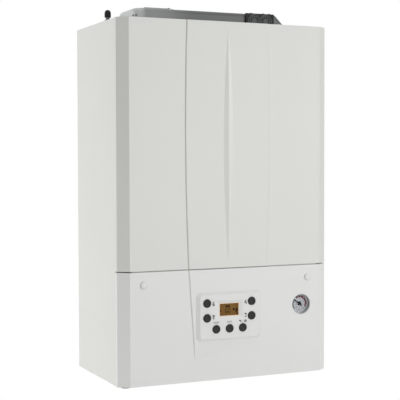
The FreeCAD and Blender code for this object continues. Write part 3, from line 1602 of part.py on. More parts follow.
def make_pump():
    centre = ("heating_x", "pump_z")
    upright = ("heating_x", "pipe_y")
    volute = rod("pump_volute", "y", centre, "pump_radius", ("pump_front", "pump_back"))
    inlet = rod("pump_inlet", "z", upright, "pump_neck_radius", ("manifold_top", "pump_z"))
    outlet = rod("pump_outlet_neck", "z", upright, "pump_neck_radius", ("pump_z", "pump_outlet"))
    chamber = rod("pump_chamber", "y", centre, "pump_radius - pump_wall",
                  ("pump_front - overrun", "pump_back - pump_wall"))
    inlet_bore = rod("pump_inlet_bore", "z", upright, "water_pipe_bore", ("manifold_top - overrun",
        "pump_z"))
    outlet_bore = rod("pump_outlet_bore", "z", upright, "water_pipe_bore", ("pump_z",
        "pump_outlet + overrun"))
    piece("pump_casing", cut("pump_casing", fuse("pump_outside", volute, inlet, outlet),
                             chamber, inlet_bore, outlet_bore))

    can = rod("pump_can", "y", centre, "pump_motor_radius", ("pump_front - pump_motor_length",
        "pump_front"))
    flange = rod("pump_flange", "y", centre, "pump_radius", ("pump_front - pump_wall", "pump_front"))
    socket = rod("pump_socket", "y", centre, "pump_shaft_radius + running_gap",
                 ("pump_front - pump_shaft_depth - free_gap", "pump_front + overrun"))
    piece("pump_motor", cut("pump_motor", fuse("pump_motor_outside", can, flange), socket))

    body = new_body("pump_impeller")
    plate = new_sketch(body, "pump_plate_outline", "XZ_Plane", "-pump_rotor_gap - pump_rotor_plate")
    draw_circle(plate, ("0", "0"), "pump_rotor_radius")
    pad(body, plate, "pump_plate_pad", "pump_rotor_plate")
    shaft = new_sketch(body, "pump_shaft_outline", "XZ_Plane", "-pump_rotor_gap - pump_rotor_plate")
    draw_circle(shaft, ("0", "0"), "pump_shaft_radius")
    pad(body, shaft, "pump_shaft", "pump_rotor_gap + pump_rotor_plate + pump_shaft_depth")
    vane_length = "pump_depth - pump_wall - 3 * pump_rotor_gap - pump_rotor_plate"
    vane = new_sketch(body, "pump_vane_outline", "XZ_Plane",
                      f"-pump_rotor_gap - pump_rotor_plate - ({vane_length})")
    draw_outline(vane, [
        ("pump_hub_radius", "-pump_vane_thickness / 2"),
        ("pump_rotor_radius - pump_vane_thickness", "-pump_vane_thickness / 2"),
        ("pump_rotor_radius - pump_vane_thickness", "pump_vane_thickness / 2"),
        ("pump_hub_radius", "pump_vane_thickness / 2"),
    ])
    vane_pad = pad(body, vane, "pump_vane", vane_length)
    add_polar_pattern(body, vane_pad, "pump_vanes", "Y_Axis", PUMP_VANE_COUNT)
    place(body, "heating_x", "pump_front", "pump_z")
    piece("pump_impeller", body)


def make_safety_valve():
    axis = ("tail_y", "relief_z")
    body = rod("relief_body", "x", axis, "relief_radius", ("manifold_outer", "relief_end"))
    stub = rod("relief_stub", "x", axis, "relief_stub_radius", ("relief_end",
        "relief_end + relief_stub_length"))
    piece("safety_valve", fuse("safety_valve", body, stub))

    knob = new_body("safety_valve_knob")
    cap = new_sketch(knob, "relief_cap_outline", "YZ_Plane", "free_gap")
    draw_circle(cap, ("0", "0"), "relief_knob_radius")
    pad(knob, cap, "relief_cap", "relief_knob_length - free_gap")
    grip = new_sketch(knob, "relief_grip_outline", "YZ_Plane", "relief_knob_length")
    draw_circle(grip, ("0", "relief_knob_radius"), "relief_knob_radius / 5")
    grip_cut = pocket(knob, grip, "relief_grip", "relief_knob_length - free_gap")
    add_polar_pattern(knob, grip_cut, "relief_grips", "X_Axis", GRIP_COUNT)
    socket = new_sketch(knob, "relief_socket_outline", "YZ_Plane", "free_gap")
    draw_circle(socket, ("0", "0"), "relief_stub_radius + running_gap")
    pocket(knob, socket, "relief_socket", "relief_stub_length", along_normal=True)
    place(knob, "relief_end", *axis)
    piece("safety_valve_knob", knob)


def make_condensate():
    axis = ("trap_x", "trap_y")
    cup = rod("trap_cup", "z", axis, "trap_radius", ("bracket_top", "trap_top"))
    spigot = rod("drain_spigot", "z", axis, "drain_radius", ("tail_end", "thread_end"))
    neck = rod("drain_neck", "z", axis, "drain_radius - drain_relief", ("thread_end", "bracket_top"))
    hollow = rod("trap_hollow", "z", axis, "trap_radius - trap_wall",
                 ("bracket_top + trap_wall", "trap_top - trap_wall"))
    inlet = rod("trap_inlet", "z", axis, "condensate_bore", ("trap_top - trap_wall", "trap_top + overrun"))
    outlet = rod("drain_bore", "z", axis, "drain_radius - drain_relief - drain_wall",
                 ("tail_end - overrun", "bracket_top + trap_wall"))
    piece("condensate_trap", cut("condensate_trap", fuse("trap_outside", cup, spigot, neck), hollow,
        inlet, outlet))
    port_x = "cell_left + condensate_inset"
    port_y = "-condensate_set"
    turn = "cell_foot - condensate_drop"
    pipe("condensate_pipe", [
        (port_x, port_y, "cell_foot"),
        (port_x, port_y, turn),
        ("trap_x", "trap_y", f"{turn} - condensate_slant"),
        ("trap_x", "trap_y", "trap_top"),
    ], "condensate_radius", "condensate_bore", "condensate_bend")


def check_document():
    """Stop if any object failed or any piece has no sound solid."""
    doc.recompute()
    failed = [item.Name for item in doc.Objects if "Invalid" in item.State or "Error" in item.State]
    for label, thing in PIECES.items():
        shape = thing.Shape
        if shape.isNull() or not shape.isValid() or not shape.Solids:
            failed.append(label)
    if failed:
        raise RuntimeError("these failed: " + ", ".join(failed))


def export():
    os.makedirs("parts", exist_ok=True)
    for label, thing in PIECES.items():
        thing.Shape.exportStep(f"parts/{label}.step")


def main():
    fill_sheets()
    make_rear_frame()
    make_side_panels()
    make_top_plate()
    make_pipe_bracket()
    make_front_rail()
    make_hinge_blocks()
    make_front_cover()
    make_control_fascia()
    make_control_box()
    make_screw_caps()
    make_display()
    make_buttons()
    make_gauge()
    make_needle()
    make_flue_hood()
    make_hood_grille()
    make_casing_screws()
    make_flue_duct()
    make_expansion_vessel()
    make_cell_casing()
    make_coil()
    make_burner_door()
    make_burner()
    make_fan()
    make_air_mixer()
    make_gas_line()
    make_flow_manifold()
    make_return_manifold()
    make_filling_knob()
    make_plate_exchanger()
    make_water_pipes()
    make_pump()
    make_safety_valve()
    make_condensate()
    check_document()
    export()
    print(len(PIECES), "pieces")


main()
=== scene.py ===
# %% [markdown]
# This lesson dresses a wall-hung gas boiler in Blender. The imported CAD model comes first, because it
# already holds every piece at its real size and place. All lengths are in metres. The wall is the
# plane y = 0, the front faces -Y and +Z is up. The box of the CAD model is kept, because the dressed
# model has to stay inside it.

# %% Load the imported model
import json
import math

import bmesh
import bpy
from mathutils import Matrix, Vector

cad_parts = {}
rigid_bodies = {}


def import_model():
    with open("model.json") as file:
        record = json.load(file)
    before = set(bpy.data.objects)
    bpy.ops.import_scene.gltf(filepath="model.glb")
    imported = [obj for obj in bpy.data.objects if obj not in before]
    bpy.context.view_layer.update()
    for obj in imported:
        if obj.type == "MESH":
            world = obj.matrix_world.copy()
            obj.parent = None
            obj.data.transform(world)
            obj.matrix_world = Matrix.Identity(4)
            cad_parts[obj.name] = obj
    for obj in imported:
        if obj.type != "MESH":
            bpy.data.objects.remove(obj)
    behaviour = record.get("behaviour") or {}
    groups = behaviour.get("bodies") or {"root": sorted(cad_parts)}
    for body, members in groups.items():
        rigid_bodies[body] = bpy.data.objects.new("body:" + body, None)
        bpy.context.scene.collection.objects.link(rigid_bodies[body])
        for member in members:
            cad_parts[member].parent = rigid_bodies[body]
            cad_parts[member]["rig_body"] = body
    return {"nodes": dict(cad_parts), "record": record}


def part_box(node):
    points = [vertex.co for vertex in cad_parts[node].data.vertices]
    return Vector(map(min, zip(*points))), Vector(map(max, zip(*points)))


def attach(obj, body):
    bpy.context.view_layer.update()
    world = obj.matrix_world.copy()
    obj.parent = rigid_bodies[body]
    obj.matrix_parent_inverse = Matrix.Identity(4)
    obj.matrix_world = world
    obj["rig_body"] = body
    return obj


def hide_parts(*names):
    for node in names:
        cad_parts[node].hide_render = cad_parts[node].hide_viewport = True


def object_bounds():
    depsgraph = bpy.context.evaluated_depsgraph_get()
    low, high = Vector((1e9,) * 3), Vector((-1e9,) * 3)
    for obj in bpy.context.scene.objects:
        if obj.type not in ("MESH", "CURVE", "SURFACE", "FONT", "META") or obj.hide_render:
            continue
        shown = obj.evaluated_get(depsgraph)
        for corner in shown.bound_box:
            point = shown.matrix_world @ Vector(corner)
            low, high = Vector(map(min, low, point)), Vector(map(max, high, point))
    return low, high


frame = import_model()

cad_low, cad_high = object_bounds()
nodes = frame["nodes"]
scene = bpy.context.scene
print(len(nodes), "nodes, box", [round(v, 4) for v in (*cad_low, *cad_high)])

# %% [markdown]
# The camera stands to the left of the boiler, level with its middle, two metres away. A long lens
# keeps the upright edges almost parallel. The angles were measured from the edges of the case. Another
# way would be to shift the lens, but every other view would then keep that shift, so the lens stays
# straight.

# %% Camera
AIM = Vector((-0.0041, -0.122, -0.3014))
AZIMUTH = math.radians(-24.196)
ELEVATION = math.radians(2.191)
ROLL = math.radians(-0.135)
DISTANCE = 2.1789
LENS = 97.87
SENSOR = 36.0

toward_camera = Vector((
    math.sin(AZIMUTH) * math.cos(ELEVATION),
    -math.cos(AZIMUTH) * math.cos(ELEVATION),
    math.sin(ELEVATION),
))
camera_data = bpy.data.cameras.new("camera")
camera_data.lens = LENS
camera_data.sensor_width = SENSOR
camera = bpy.data.objects.new("camera", camera_data)
scene.collection.objects.link(camera)
facing = (-toward_camera).to_track_quat("-Z", "Y").to_matrix()
camera.matrix_world = (
    Matrix.Translation(AIM + DISTANCE * toward_camera)
    @ (facing @ Matrix.Rotation(ROLL, 3, "Z")).to_4x4()
)
scene.camera = camera
print("camera at", [round(v, 3) for v in camera.matrix_world.translation])

# %% [markdown]
# Two large soft lamps light the case. One stands in front, a little to the right. The other stands
# behind the left side. Both miss the narrow slanted corner between the front and the left side, which
# is why that corner looks darker than its neighbours. Two slim lamps far to the right, one above the
# other, give little light, but edges that face right mirror them and shine. Weak lamps above and low
# on the left, and an even sky, fill the shadows.

# %% Lamps
LAMPS = {
    "front_lamp": {"place": (1.25, -3.1, -0.1), "size": (1.9, 1.8), "power": 37.3},
    "left_lamp": {"place": (-2.75, 1.25, -0.1), "size": (1.8, 1.8), "power": 57.0},
    "slim_lamp": {"place": (2.23, -2.25, 0.25), "size": (0.35, 0.9), "power": 11.0},
    "slim_low_lamp": {"place": (2.23, -2.25, -0.55), "size": (0.35, 0.7), "power": 4.2},
    "top_lamp": {"place": (0.3, -0.9, 2.6), "size": (1.4, 1.4), "power": 22.0},
    "low_lamp": {"place": (-1.35, -1.0, -1.25), "size": (0.8, 0.8), "power": 3.2},
}
for name, lamp in LAMPS.items():
    data = bpy.data.lights.new(name, "AREA")
    data.shape = "RECTANGLE"
    data.size, data.size_y = lamp["size"]
    data.energy = lamp["power"]
    thing = bpy.data.objects.new(name, data)
    scene.collection.objects.link(thing)
    place = Vector(lamp["place"])
    aim = (AIM - place).to_track_quat("-Z", "Y").to_matrix().to_4x4()
    thing.matrix_world = Matrix.Translation(place) @ aim
scene.view_settings.view_transform = "Standard"
print(len(LAMPS), "lamps")

# %% [markdown]
# Materials are sums of node sockets. The class below wraps one socket, so that Python's own signs add
# the Math nodes: 1 - mask is one node. Its method node makes every other kind of node. It sets the
# node's own settings first, because some of them change which sockets the node has.

# %% A socket that can be used in sums


class Wire:
    """One output socket of a node tree."""

    def __init__(self, tree, socket=None):
        self.tree = tree
        self.socket = socket

    def node(self, kind, settings=None, sockets=None, out=0):
        made = self.tree.nodes.new("ShaderNode" + kind)
        for name, value in (settings or {}).items():
            setattr(made, name, value)
        for key, value in (sockets or {}).items():
            if isinstance(value, Wire):
                self.tree.links.new(value.socket, made.inputs[key])
            else:
                made.inputs[key].default_value = value
        return Wire(self.tree, made.outputs[out] if made.outputs else None)

    def sum(self, operation, first, second):
        return self.node("Math", {"operation": operation}, {0: first, 1: second})

    def __add__(self, other):
        return self.sum("ADD", self, other)

    def __radd__(self, other):
        return self.sum("ADD", other, self)

    def __sub__(self, other):
        return self.sum("SUBTRACT", self, other)

    def __rsub__(self, other):
        return self.sum("SUBTRACT", other, self)

    def __mul__(self, other):
        return self.sum("MULTIPLY", self, other)

    def __rmul__(self, other):
        return self.sum("MULTIPLY", other, self)


print("sums of sockets are ready")

# %% [markdown]
# The sky lights the boiler weakly from everywhere. Rays from the camera, and rays that metal and glass
# send back, see plain white instead. So the picture has a white ground without more light on the case.

# %% Sky
SKY_LIGHT = 0.30
WHITE = (1.0, 1.0, 1.0, 1.0)
world = bpy.data.worlds.new("sky")
scene.world = world
world.use_nodes = True
world.node_tree.nodes.clear()
sky = Wire(world.node_tree)


def white_rays(tree):
    """One for rays that should see plain white, and zero for the light that falls on things."""
    seen = tree.node("LightPath", out="Is Camera Ray")
    shone = tree.node("LightPath", out="Is Glossy Ray")
    passed = tree.node("LightPath", out="Is Transmission Ray")
    return tree.node("Math", {"operation": "ADD", "use_clamp": True}, {0: seen + shone, 1: passed})


strength = SKY_LIGHT + white_rays(sky) * (1.0 - SKY_LIGHT)
glow = sky.node("Background", {}, {"Color": WHITE, "Strength": strength})
sky.node("OutputWorld", {}, {"Surface": glow})
print("sky strength", SKY_LIGHT)

# %% [markdown]
# Each finish is one Principled shader. The helper below makes it, with the numbers that are the same
# all over the surface set on the shader's own sockets. Only what varies over the surface is linked.

# %% A finish


class Finish(Wire):
    """A material with one shader."""

    def __init__(self, name, constants=None):
        self.material = bpy.data.materials.new(name)
        self.material.use_nodes = True
        super().__init__(self.material.node_tree)
        self.tree.nodes.clear()
        end = self.node("BsdfPrincipled")
        self.shader = end.socket.node
        self.output = self.tree.nodes.new("ShaderNodeOutputMaterial")
        self.tree.links.new(end.socket, self.output.inputs["Surface"])
        self.place = self.node("TexCoord", out="Object")
        for key, value in (constants or {}).items():
            self.shader.inputs[key].default_value = value

    def link(self, colour=None, rough=None, normal=None):
        for key, wire in (("Base Color", colour), ("Roughness", rough), ("Normal", normal)):
            if wire:
                self.tree.links.new(wire.socket, self.shader.inputs[key])

    def noise(self, scale, detail=2.0, vector=None):
        return self.node("TexNoise", {}, {
            "Vector": vector or self.place, "Scale": scale, "Detail": detail}, out="Fac")

    def ramp(self, value, low, high):
        """Zero below low, one above high and a smooth change between."""
        return self.node("MapRange", {"interpolation_type": "SMOOTHSTEP"}, {
            "Value": value, "From Min": low, "From Max": high})

    def blend(self, factor, low, high):
        return self.node("Mix", {"data_type": "RGBA"}, {"Factor": factor, 6: low, 7: high}, out=2)

    def bump(self, height, strength, distance):
        self.link(normal=self.node("Bump", {}, {
            "Strength": strength, "Distance": distance, "Height": height}))


def shade(colour, factor):
    """A colour made darker or lighter, with full alpha."""
    return (*(min(1.0, part * factor) for part in colour), 1.0)


finishes = {}
print("finishes can be made")

# %% [markdown]
# The case is steel with baked powder paint. Such paint is never quite flat: it dries with a fine
# ripple like orange peel, a millimetre or two across, and it levels unevenly over larger patches. The
# ripple goes into the bump and the patches into the colour and the gloss.

# %% Powder paint
PATCH_SCALE = 7.0
RIPPLE_DEPTH = 0.0004


def powder_paint(name, colour, rough, ripple_scale=620.0, ripple=0.05):
    finish = Finish(name, {"Specular IOR Level": 0.42})
    patches = finish.noise(PATCH_SCALE, 3.0)
    finish.link(
        colour=finish.blend(patches, shade(colour, 0.98), shade(colour, 1.02)),
        rough=rough - 0.04 + 0.08 * patches,
    )
    finish.bump(finish.noise(ripple_scale, 1.0), ripple, RIPPLE_DEPTH)
    finishes[name] = finish.material


CASE_WHITE = (0.640, 0.645, 0.612)
powder_paint("white_paint", CASE_WHITE, 0.31)
powder_paint("vessel_paint", (0.16, 0.17, 0.18), 0.42)
print("powder paint")

# %% [markdown]
# The control panel is moulded in white plastic, a touch cooler and duller than the paint. The mould
# gives it a very fine even grain. Dark parts are moulded the same way with a coarser grain.

# %% Moulded plastic
FLOW_SCALE = 14.0
GRAIN_DEPTH = 0.0003


def moulded(name, colour, rough, grain_scale=1500.0, grain=0.05, variety=0.03, gloss=0.45):
    finish = Finish(name, {"Specular IOR Level": gloss})
    flow = finish.noise(FLOW_SCALE, 3.0)
    grain_height = finish.noise(grain_scale, 2.0)
    finish.link(
        colour=finish.blend(flow, shade(colour, 1.0 - variety), shade(colour, 1.0 + variety)),
        rough=rough - 0.05 + 0.10 * grain_height,
    )
    finish.bump(grain_height, grain, GRAIN_DEPTH)
    finishes[name] = finish.material


moulded("white_plastic", (0.700, 0.702, 0.690), 0.38, 1800.0, 0.03, 0.012)
moulded("dark_plastic", (0.009, 0.009, 0.010), 0.60, 900.0, 0.20, 0.15, 0.25)
moulded("composite", (0.022, 0.022, 0.025), 0.50, 700.0, 0.18, 0.15, 0.35)
moulded("button_grey", (0.016, 0.017, 0.016), 0.62, 1600.0, 0.12, 0.08, 0.25)
moulded("flue_plastic", (0.60, 0.60, 0.57), 0.5, 800.0, 0.06, 0.03)
moulded("gauge_body", (0.36, 0.365, 0.37), 0.40, 1600.0, 0.04, 0.03)
moulded("gauge_face", (0.37, 0.38, 0.395), 0.6, 2500.0, 0.02, 0.02, 0.3)
moulded("gauge_black", (0.006, 0.006, 0.007), 0.7, 2500.0, 0.05, 0.1, 0.12)
moulded("gauge_red", (0.100, 0.014, 0.026), 0.5, 2500.0, 0.02, 0.1, 0.3)
moulded("electrode", (0.70, 0.66, 0.58), 0.5, 600.0, 0.1, 0.05)
moulded("board_green", (0.012, 0.085, 0.036), 0.35, 400.0, 0.1, 0.2)
moulded("print_grey", (0.022, 0.022, 0.023), 0.6, 2500.0, 0.02, 0.1, 0.3)
moulded("display_ink", (0.012, 0.007, 0.004), 0.9, 2500.0, 0.02, 0.1, 0.05)
moulded("seam_foam", (0.52, 0.52, 0.50), 0.9, 900.0, 0.3, 0.06, 0.2)
moulded("seal_rubber", (0.014, 0.014, 0.014), 0.75, 1200.0, 0.2, 0.1, 0.3)
print(len(finishes), "finishes so far")

# %% [markdown]
# The hood over the flue is a grey moulding with a satin skin. Towards its left end the grey is paler,
# which is a painted sheen, and at the rounded corner it is palest, which is a painted highlight. A
# colour by the piece's own x gives that without a picture.

# %% Hood plastic with painted sheen and highlight
HOOD_GREY = (0.106, 0.111, 0.109)
HOOD_PAINTED_SHEEN = (0.236, 0.246, 0.242)
HOOD_PAINTED_HIGHLIGHT = (0.57, 0.595, 0.588)
SHEEN_TO_GREY = (-0.13, -0.03)
HIGHLIGHT_TO_SHEEN = (-0.150, -0.136)
hood = Finish("hood_grey", {"Specular IOR Level": 0.32})
hood_x = hood.node("SeparateXYZ", {}, {0: hood.place}, out="X")
hood_grain = hood.noise(900.0, 2.0)
# Painted light: the grey turns paler towards the left end, a painted sheen.
grey_with_sheen = hood.blend(hood.ramp(hood_x, *SHEEN_TO_GREY), (*HOOD_PAINTED_SHEEN, 1.0), (*HOOD_GREY, 1.0))
# The palest band at the rounded corner is a painted highlight.
corner = hood.ramp(hood_x + 0.004 * hood_grain, *HIGHLIGHT_TO_SHEEN)
hood.link(
    colour=hood.blend(corner, (*HOOD_PAINTED_HIGHLIGHT, 1.0), grey_with_sheen),
    rough=0.30 + 0.10 * hood_grain,
)
hood.bump(hood_grain, 0.06, GRAIN_DEPTH)
finishes["hood_grey"] = hood.material
print("hood plastic")

# %% [markdown]
# Bare metals differ in what their surface went through. Zinc sheet shows large crystals, castings are
# sandy, and drawn pipe and turned brass have fine lines and dull stains.

# %% Metals
CRYSTAL_SCALE = 85.0
HAZE_SCALE = 30.0
CLOUD_SCALE = 22.0
STAIN_SCALE = 35.0
LINE_SCALE = 260.0
SAND_DEPTH = 0.0005
SHEET_DEPTH = 0.0004


def zinc_sheet(name, colour):
    finish = Finish(name, {"Metallic": 1.0})
    crystals = finish.node("TexVoronoi", {"feature": "F1"}, {
        "Vector": finish.place, "Scale": CRYSTAL_SCALE, "Randomness": 1.0}, out="Color")
    shine = finish.node("SeparateColor", {}, {"Color": crystals})
    haze = finish.noise(HAZE_SCALE, 3.0)
    finish.link(
        colour=finish.blend(0.6 * shine + 0.4 * haze, shade(colour, 0.82), shade(colour, 1.12)),
        rough=0.34 + 0.22 * shine,
    )
    finish.bump(finish.noise(400.0, 2.0), 0.05, SHEET_DEPTH)
    finishes[name] = finish.material


def casting(name, colour, metal, rough, sand_scale=700.0, sand=0.35):
    finish = Finish(name, {"Metallic": metal})
    cloud = finish.noise(CLOUD_SCALE, 4.0)
    finish.link(
        colour=finish.blend(cloud, shade(colour, 0.86), shade(colour, 1.10)),
        rough=rough - 0.08 + 0.16 * cloud,
    )
    finish.bump(finish.noise(sand_scale, 3.0), sand, SAND_DEPTH)
    finishes[name] = finish.material


def drawn_metal(name, colour, stain, rough):
    finish = Finish(name, {"Metallic": 1.0})
    dull = finish.noise(STAIN_SCALE, 4.0)
    lines = finish.noise(LINE_SCALE, 2.0)
    finish.link(
        colour=finish.blend(dull * lines, shade(colour, 1.05), (*stain, 1.0)),
        rough=rough + 0.25 * dull,
    )
    finish.bump(lines, 0.06, SHEET_DEPTH)
    finishes[name] = finish.material


zinc_sheet("zinc_sheet", (0.52, 0.54, 0.55))
casting("cast_alloy", (0.55, 0.56, 0.57), 0.9, 0.45)
drawn_metal("steel", (0.50, 0.50, 0.50), (0.35, 0.34, 0.33), 0.24)
drawn_metal("screw_steel", (0.16, 0.16, 0.16), (0.08, 0.08, 0.08), 0.35)
drawn_metal("copper", (0.70, 0.33, 0.19), (0.30, 0.12, 0.07), 0.2)
drawn_metal("brass", (0.66, 0.47, 0.19), (0.38, 0.25, 0.10), 0.22)
print(len(finishes), "finishes so far")

# %% [markdown]
# The gauge has a clear lens. Thin clear plastic hardly bends light, so the shader lets light through
# and keeps only its gloss.

# %% Clear lens
lens = Finish("clear", {"Base Color": (0.96, 0.97, 0.98, 1.0), "Transmission Weight": 1.0, "IOR": 1.12})
lens.link(rough=0.02 + 0.05 * lens.noise(60.0, 2.0))
finishes["clear"] = lens.material
print("clear lens")

# %% [markdown]
# The display is an amber panel behind a window. A lit panel of this kind is brighter in its middle and
# browner towards its rim, with a faint speckle. A little glow keeps it warm in the shade of the window.

# %% Amber display
AMBER_MIDDLE = (0.196, 0.103, 0.024, 1.0)
AMBER_RIM = (0.139, 0.064, 0.014, 1.0)
STRETCH = (24.0, 0.0, 32.0)
display_low, display_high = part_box("display_module")
amber = Finish("display_amber", {"Roughness": 0.5, "Specular IOR Level": 0.1, "Emission Strength": 0.04})
window_z = (display_low.z + display_high.z) / 2.0
from_middle = amber.node("Mapping", {}, {
    "Vector": amber.place, "Location": (0.0, 0.0, -STRETCH[2] * window_z), "Scale": STRETCH})
spread = amber.node("VectorMath", {"operation": "LENGTH"}, {0: from_middle}, out="Value")
speckle = amber.noise(900.0, 1.0)
warm = amber.blend(amber.ramp(spread + 0.2 * speckle, 0.15, 0.75), AMBER_MIDDLE, AMBER_RIM)
amber.link(colour=warm)
amber.tree.links.new(warm.socket, amber.shader.inputs["Emission Color"])
finishes["display_amber"] = amber.material
print("amber display", [round(v, 4) for v in (*display_low, *display_high)])

# %% [markdown]
# The record says which finish every CAD node has. Each node's own slot takes the finish of that name.

# %% Put the finishes on the nodes
slot_of = {part["node"]: part["material_slot"] for part in frame["record"]["subparts"]}
for name, thing in nodes.items():
    thing.data.materials.clear()
    thing.data.materials.append(finishes[slot_of[name]])
print("finished nodes:", len(nodes))

# %% [markdown]
# A CAD mesh is loose triangles with knife edges. Real sheet, plastic and castings have rounded edges,
# and those catch the light. A copy of the mesh is merged first, its flat triangles are joined into
# whole faces, and then chosen edges are bevelled. Weighted normals keep large faces flat beside their
# rounded edges.

# %% Rounded copies of CAD nodes
MERGE = 0.00001
FLAT = math.radians(0.05)
CREASE = math.radians(7.0)


def merged_copy(node):
    mesh = bmesh.new()
    mesh.from_mesh(nodes[node].data)
    bmesh.ops.remove_doubles(mesh, verts=mesh.verts, dist=MERGE)
    bmesh.ops.dissolve_limit(mesh, angle_limit=FLAT, verts=mesh.verts, edges=mesh.edges)
    return mesh


def crease(mesh, angle):
    """Shade smoothly across every edge that turns less than an angle."""
    for face in mesh.faces:
        face.smooth = True
    for edge in mesh.edges:
        edge.smooth = edge.calc_face_angle(0.0) < angle


def outer_edges(mesh, angle, where=None):
    """Edges that stand out, turn more than an angle and have their middle where asked."""
    found = []
    for edge in mesh.edges:
        if len(edge.link_faces) == 2 and edge.is_convex and edge.calc_face_angle() > angle:
            if where is None or where((edge.verts[0].co + edge.verts[1].co) / 2.0):
                found.append(edge)
    return found


def soften(mesh, edges, width, segments=3, clamp=True):
    made = bmesh.ops.bevel(mesh, geom=edges, offset=width, offset_type="OFFSET", affect="EDGES",
                           segments=segments, profile=0.5, material=-1, clamp_overlap=clamp)
    for face in made["faces"]:
        for edge in face.edges:
            edge.smooth = edge.is_convex or edge.calc_face_angle(0.0) < CREASE


def settle(name, mesh, body, slot, replaced=(), finish=None):
    """Turn a bmesh into a piece that rides on a body, with a slot's finish."""
    data = bpy.data.meshes.new(name)
    mesh.to_mesh(data)
    mesh.free()
    data.materials.append(finishes[finish or slot])
    piece = bpy.data.objects.new(name, data)
    scene.collection.objects.link(piece)
    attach(piece, body)
    if replaced:
        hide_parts(*replaced)
    return piece


def weigh(piece):
    """Keep the large faces of a piece flat beside its rounded edges."""
    normals = piece.modifiers.new("flat_faces", "WEIGHTED_NORMAL")
    normals.keep_sharp = True


print("copies can be rounded")

# %% [markdown]
# The front cover is a tray of sheet steel, pressed with a broad raised band and a slim keel, and its
# corners are bent in a slant. The sheet is one millimetre thick, so only the outer edges are rounded.
# The band's long edges get a wide flat chamfer. The keel's faces meet at a shallow angle and stay crisp,
# as they do on the real pressing. Paint fills its foot a little, so the copy's keel stands slightly lower
# than the bare sheet's.

# %% Front cover
HALF_WIDTH = cad_high.x
GAUGE_INSET = 0.001
CASE_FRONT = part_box("gauge_case")[0].y - GAUGE_INSET
LIP_END = -0.2215
SLANT_WIDTH = 0.020
BAND_RISE = 0.002
BAND_FACE = CASE_FRONT - BAND_RISE
BAND_MARGIN = 0.021
BAND_END = HALF_WIDTH - BAND_MARGIN
FACE_ROOM = 0.0001
EDGE_ROOM = 0.0005
KEEL_HALF = 0.0125
KEEL_SHOWN = 0.8
BAND_ANGLE = math.radians(60.0)
BAND_CHAMFER = 0.0019
COVER_ANGLE = math.radians(32.0)
COVER_RADIUS = 0.0009


def on_side(point):
    """True on the outside of the left and right sides."""
    return abs(point.x) > HALF_WIDTH - FACE_ROOM


def on_case_skin(point):
    """True on the outside of the front trays, and false inside them and on their rims."""
    slant = abs(point.x) > HALF_WIDTH - SLANT_WIDTH and point.y < LIP_END
    return on_side(point) or slant or point.y < CASE_FRONT + EDGE_ROOM


def on_band_side(point):
    """True on the long edges of the raised band, away from its ends and from the keel."""
    upright = cover_low.z + EDGE_ROOM < point.z < cover_high.z - EDGE_ROOM
    return upright and abs(point.x) < BAND_END and abs(point.y - BAND_FACE) < FACE_ROOM


def on_cover_skin(point):
    """True on the outside of the cover, apart from its keel."""
    return on_case_skin(point) and point.y > BAND_FACE - FACE_ROOM


cover_low, cover_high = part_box("front_cover")
cover = merged_copy("front_cover")
for vert in cover.verts:
    if vert.co.y < BAND_FACE and abs(vert.co.x) < KEEL_HALF:
        vert.co.y = BAND_FACE + (vert.co.y - BAND_FACE) * KEEL_SHOWN
crease(cover, CREASE)
soften(cover, outer_edges(cover, BAND_ANGLE, on_band_side), BAND_CHAMFER, 1, False)
soften(cover, outer_edges(cover, COVER_ANGLE, on_cover_skin), COVER_RADIUS)
cover_piece = settle("cover_skin", cover, "front_cover", "white_paint", ["front_cover"])
weigh(cover_piece)
print("cover faces", len(cover_piece.data.polygons))

# %% [markdown]
# The control panel's front is a thicker moulding with the same slanted corners. Its island, the sloped
# recess of the display and the rims of the holes have small moulded radii. Left of the island the
# raised band has a wide chamfer, like the cover's.

# %% Control panel front
ISLAND_LEFT = -0.075
FASCIA_BAND_ANGLE = math.radians(80.0)
FASCIA_CHAMFER = 0.00195
FASCIA_ANGLE = math.radians(12.0)
FASCIA_RADIUS = 0.0007


def on_fascia_band(point):
    """True on the long edge of the raised band, left of the island."""
    return -BAND_END < point.x < ISLAND_LEFT and point.y < BAND_FACE + EDGE_ROOM


fascia = merged_copy("control_fascia")
crease(fascia, CREASE)
soften(fascia, outer_edges(fascia, FASCIA_BAND_ANGLE, on_fascia_band), FASCIA_CHAMFER, 1)
soften(fascia, outer_edges(fascia, FASCIA_ANGLE, on_case_skin), FASCIA_RADIUS)
fascia_piece = settle("panel_moulding", fascia, "control_panel", "white_plastic", ["control_fascia"])
weigh(fascia_piece)
print("panel faces", len(fascia_piece.data.polygons))

# %% [markdown]
# The side panels are folded sheet. Their front edge meets the trays in a narrow seam, and the bend
# there has a radius of almost the sheet's thickness.

# %% Side panels
SHARP = math.radians(40.0)
SIDE_RADIUS = 0.0008
for side in ("left", "right"):
    panel = merged_copy(f"{side}_side_panel")
    crease(panel, CREASE)
    soften(panel, outer_edges(panel, SHARP, on_side), SIDE_RADIUS)
    weigh(settle(f"{side}_panel_skin", panel, "frame", "white_paint", [f"{side}_side_panel"]))
print("side panels rounded")

# %% [markdown]
# The other curved pieces keep their CAD shape. They only need smooth shading and a slight rounding of
# their edges, wide on castings and narrow on turned or drawn metal. One table holds the widths.

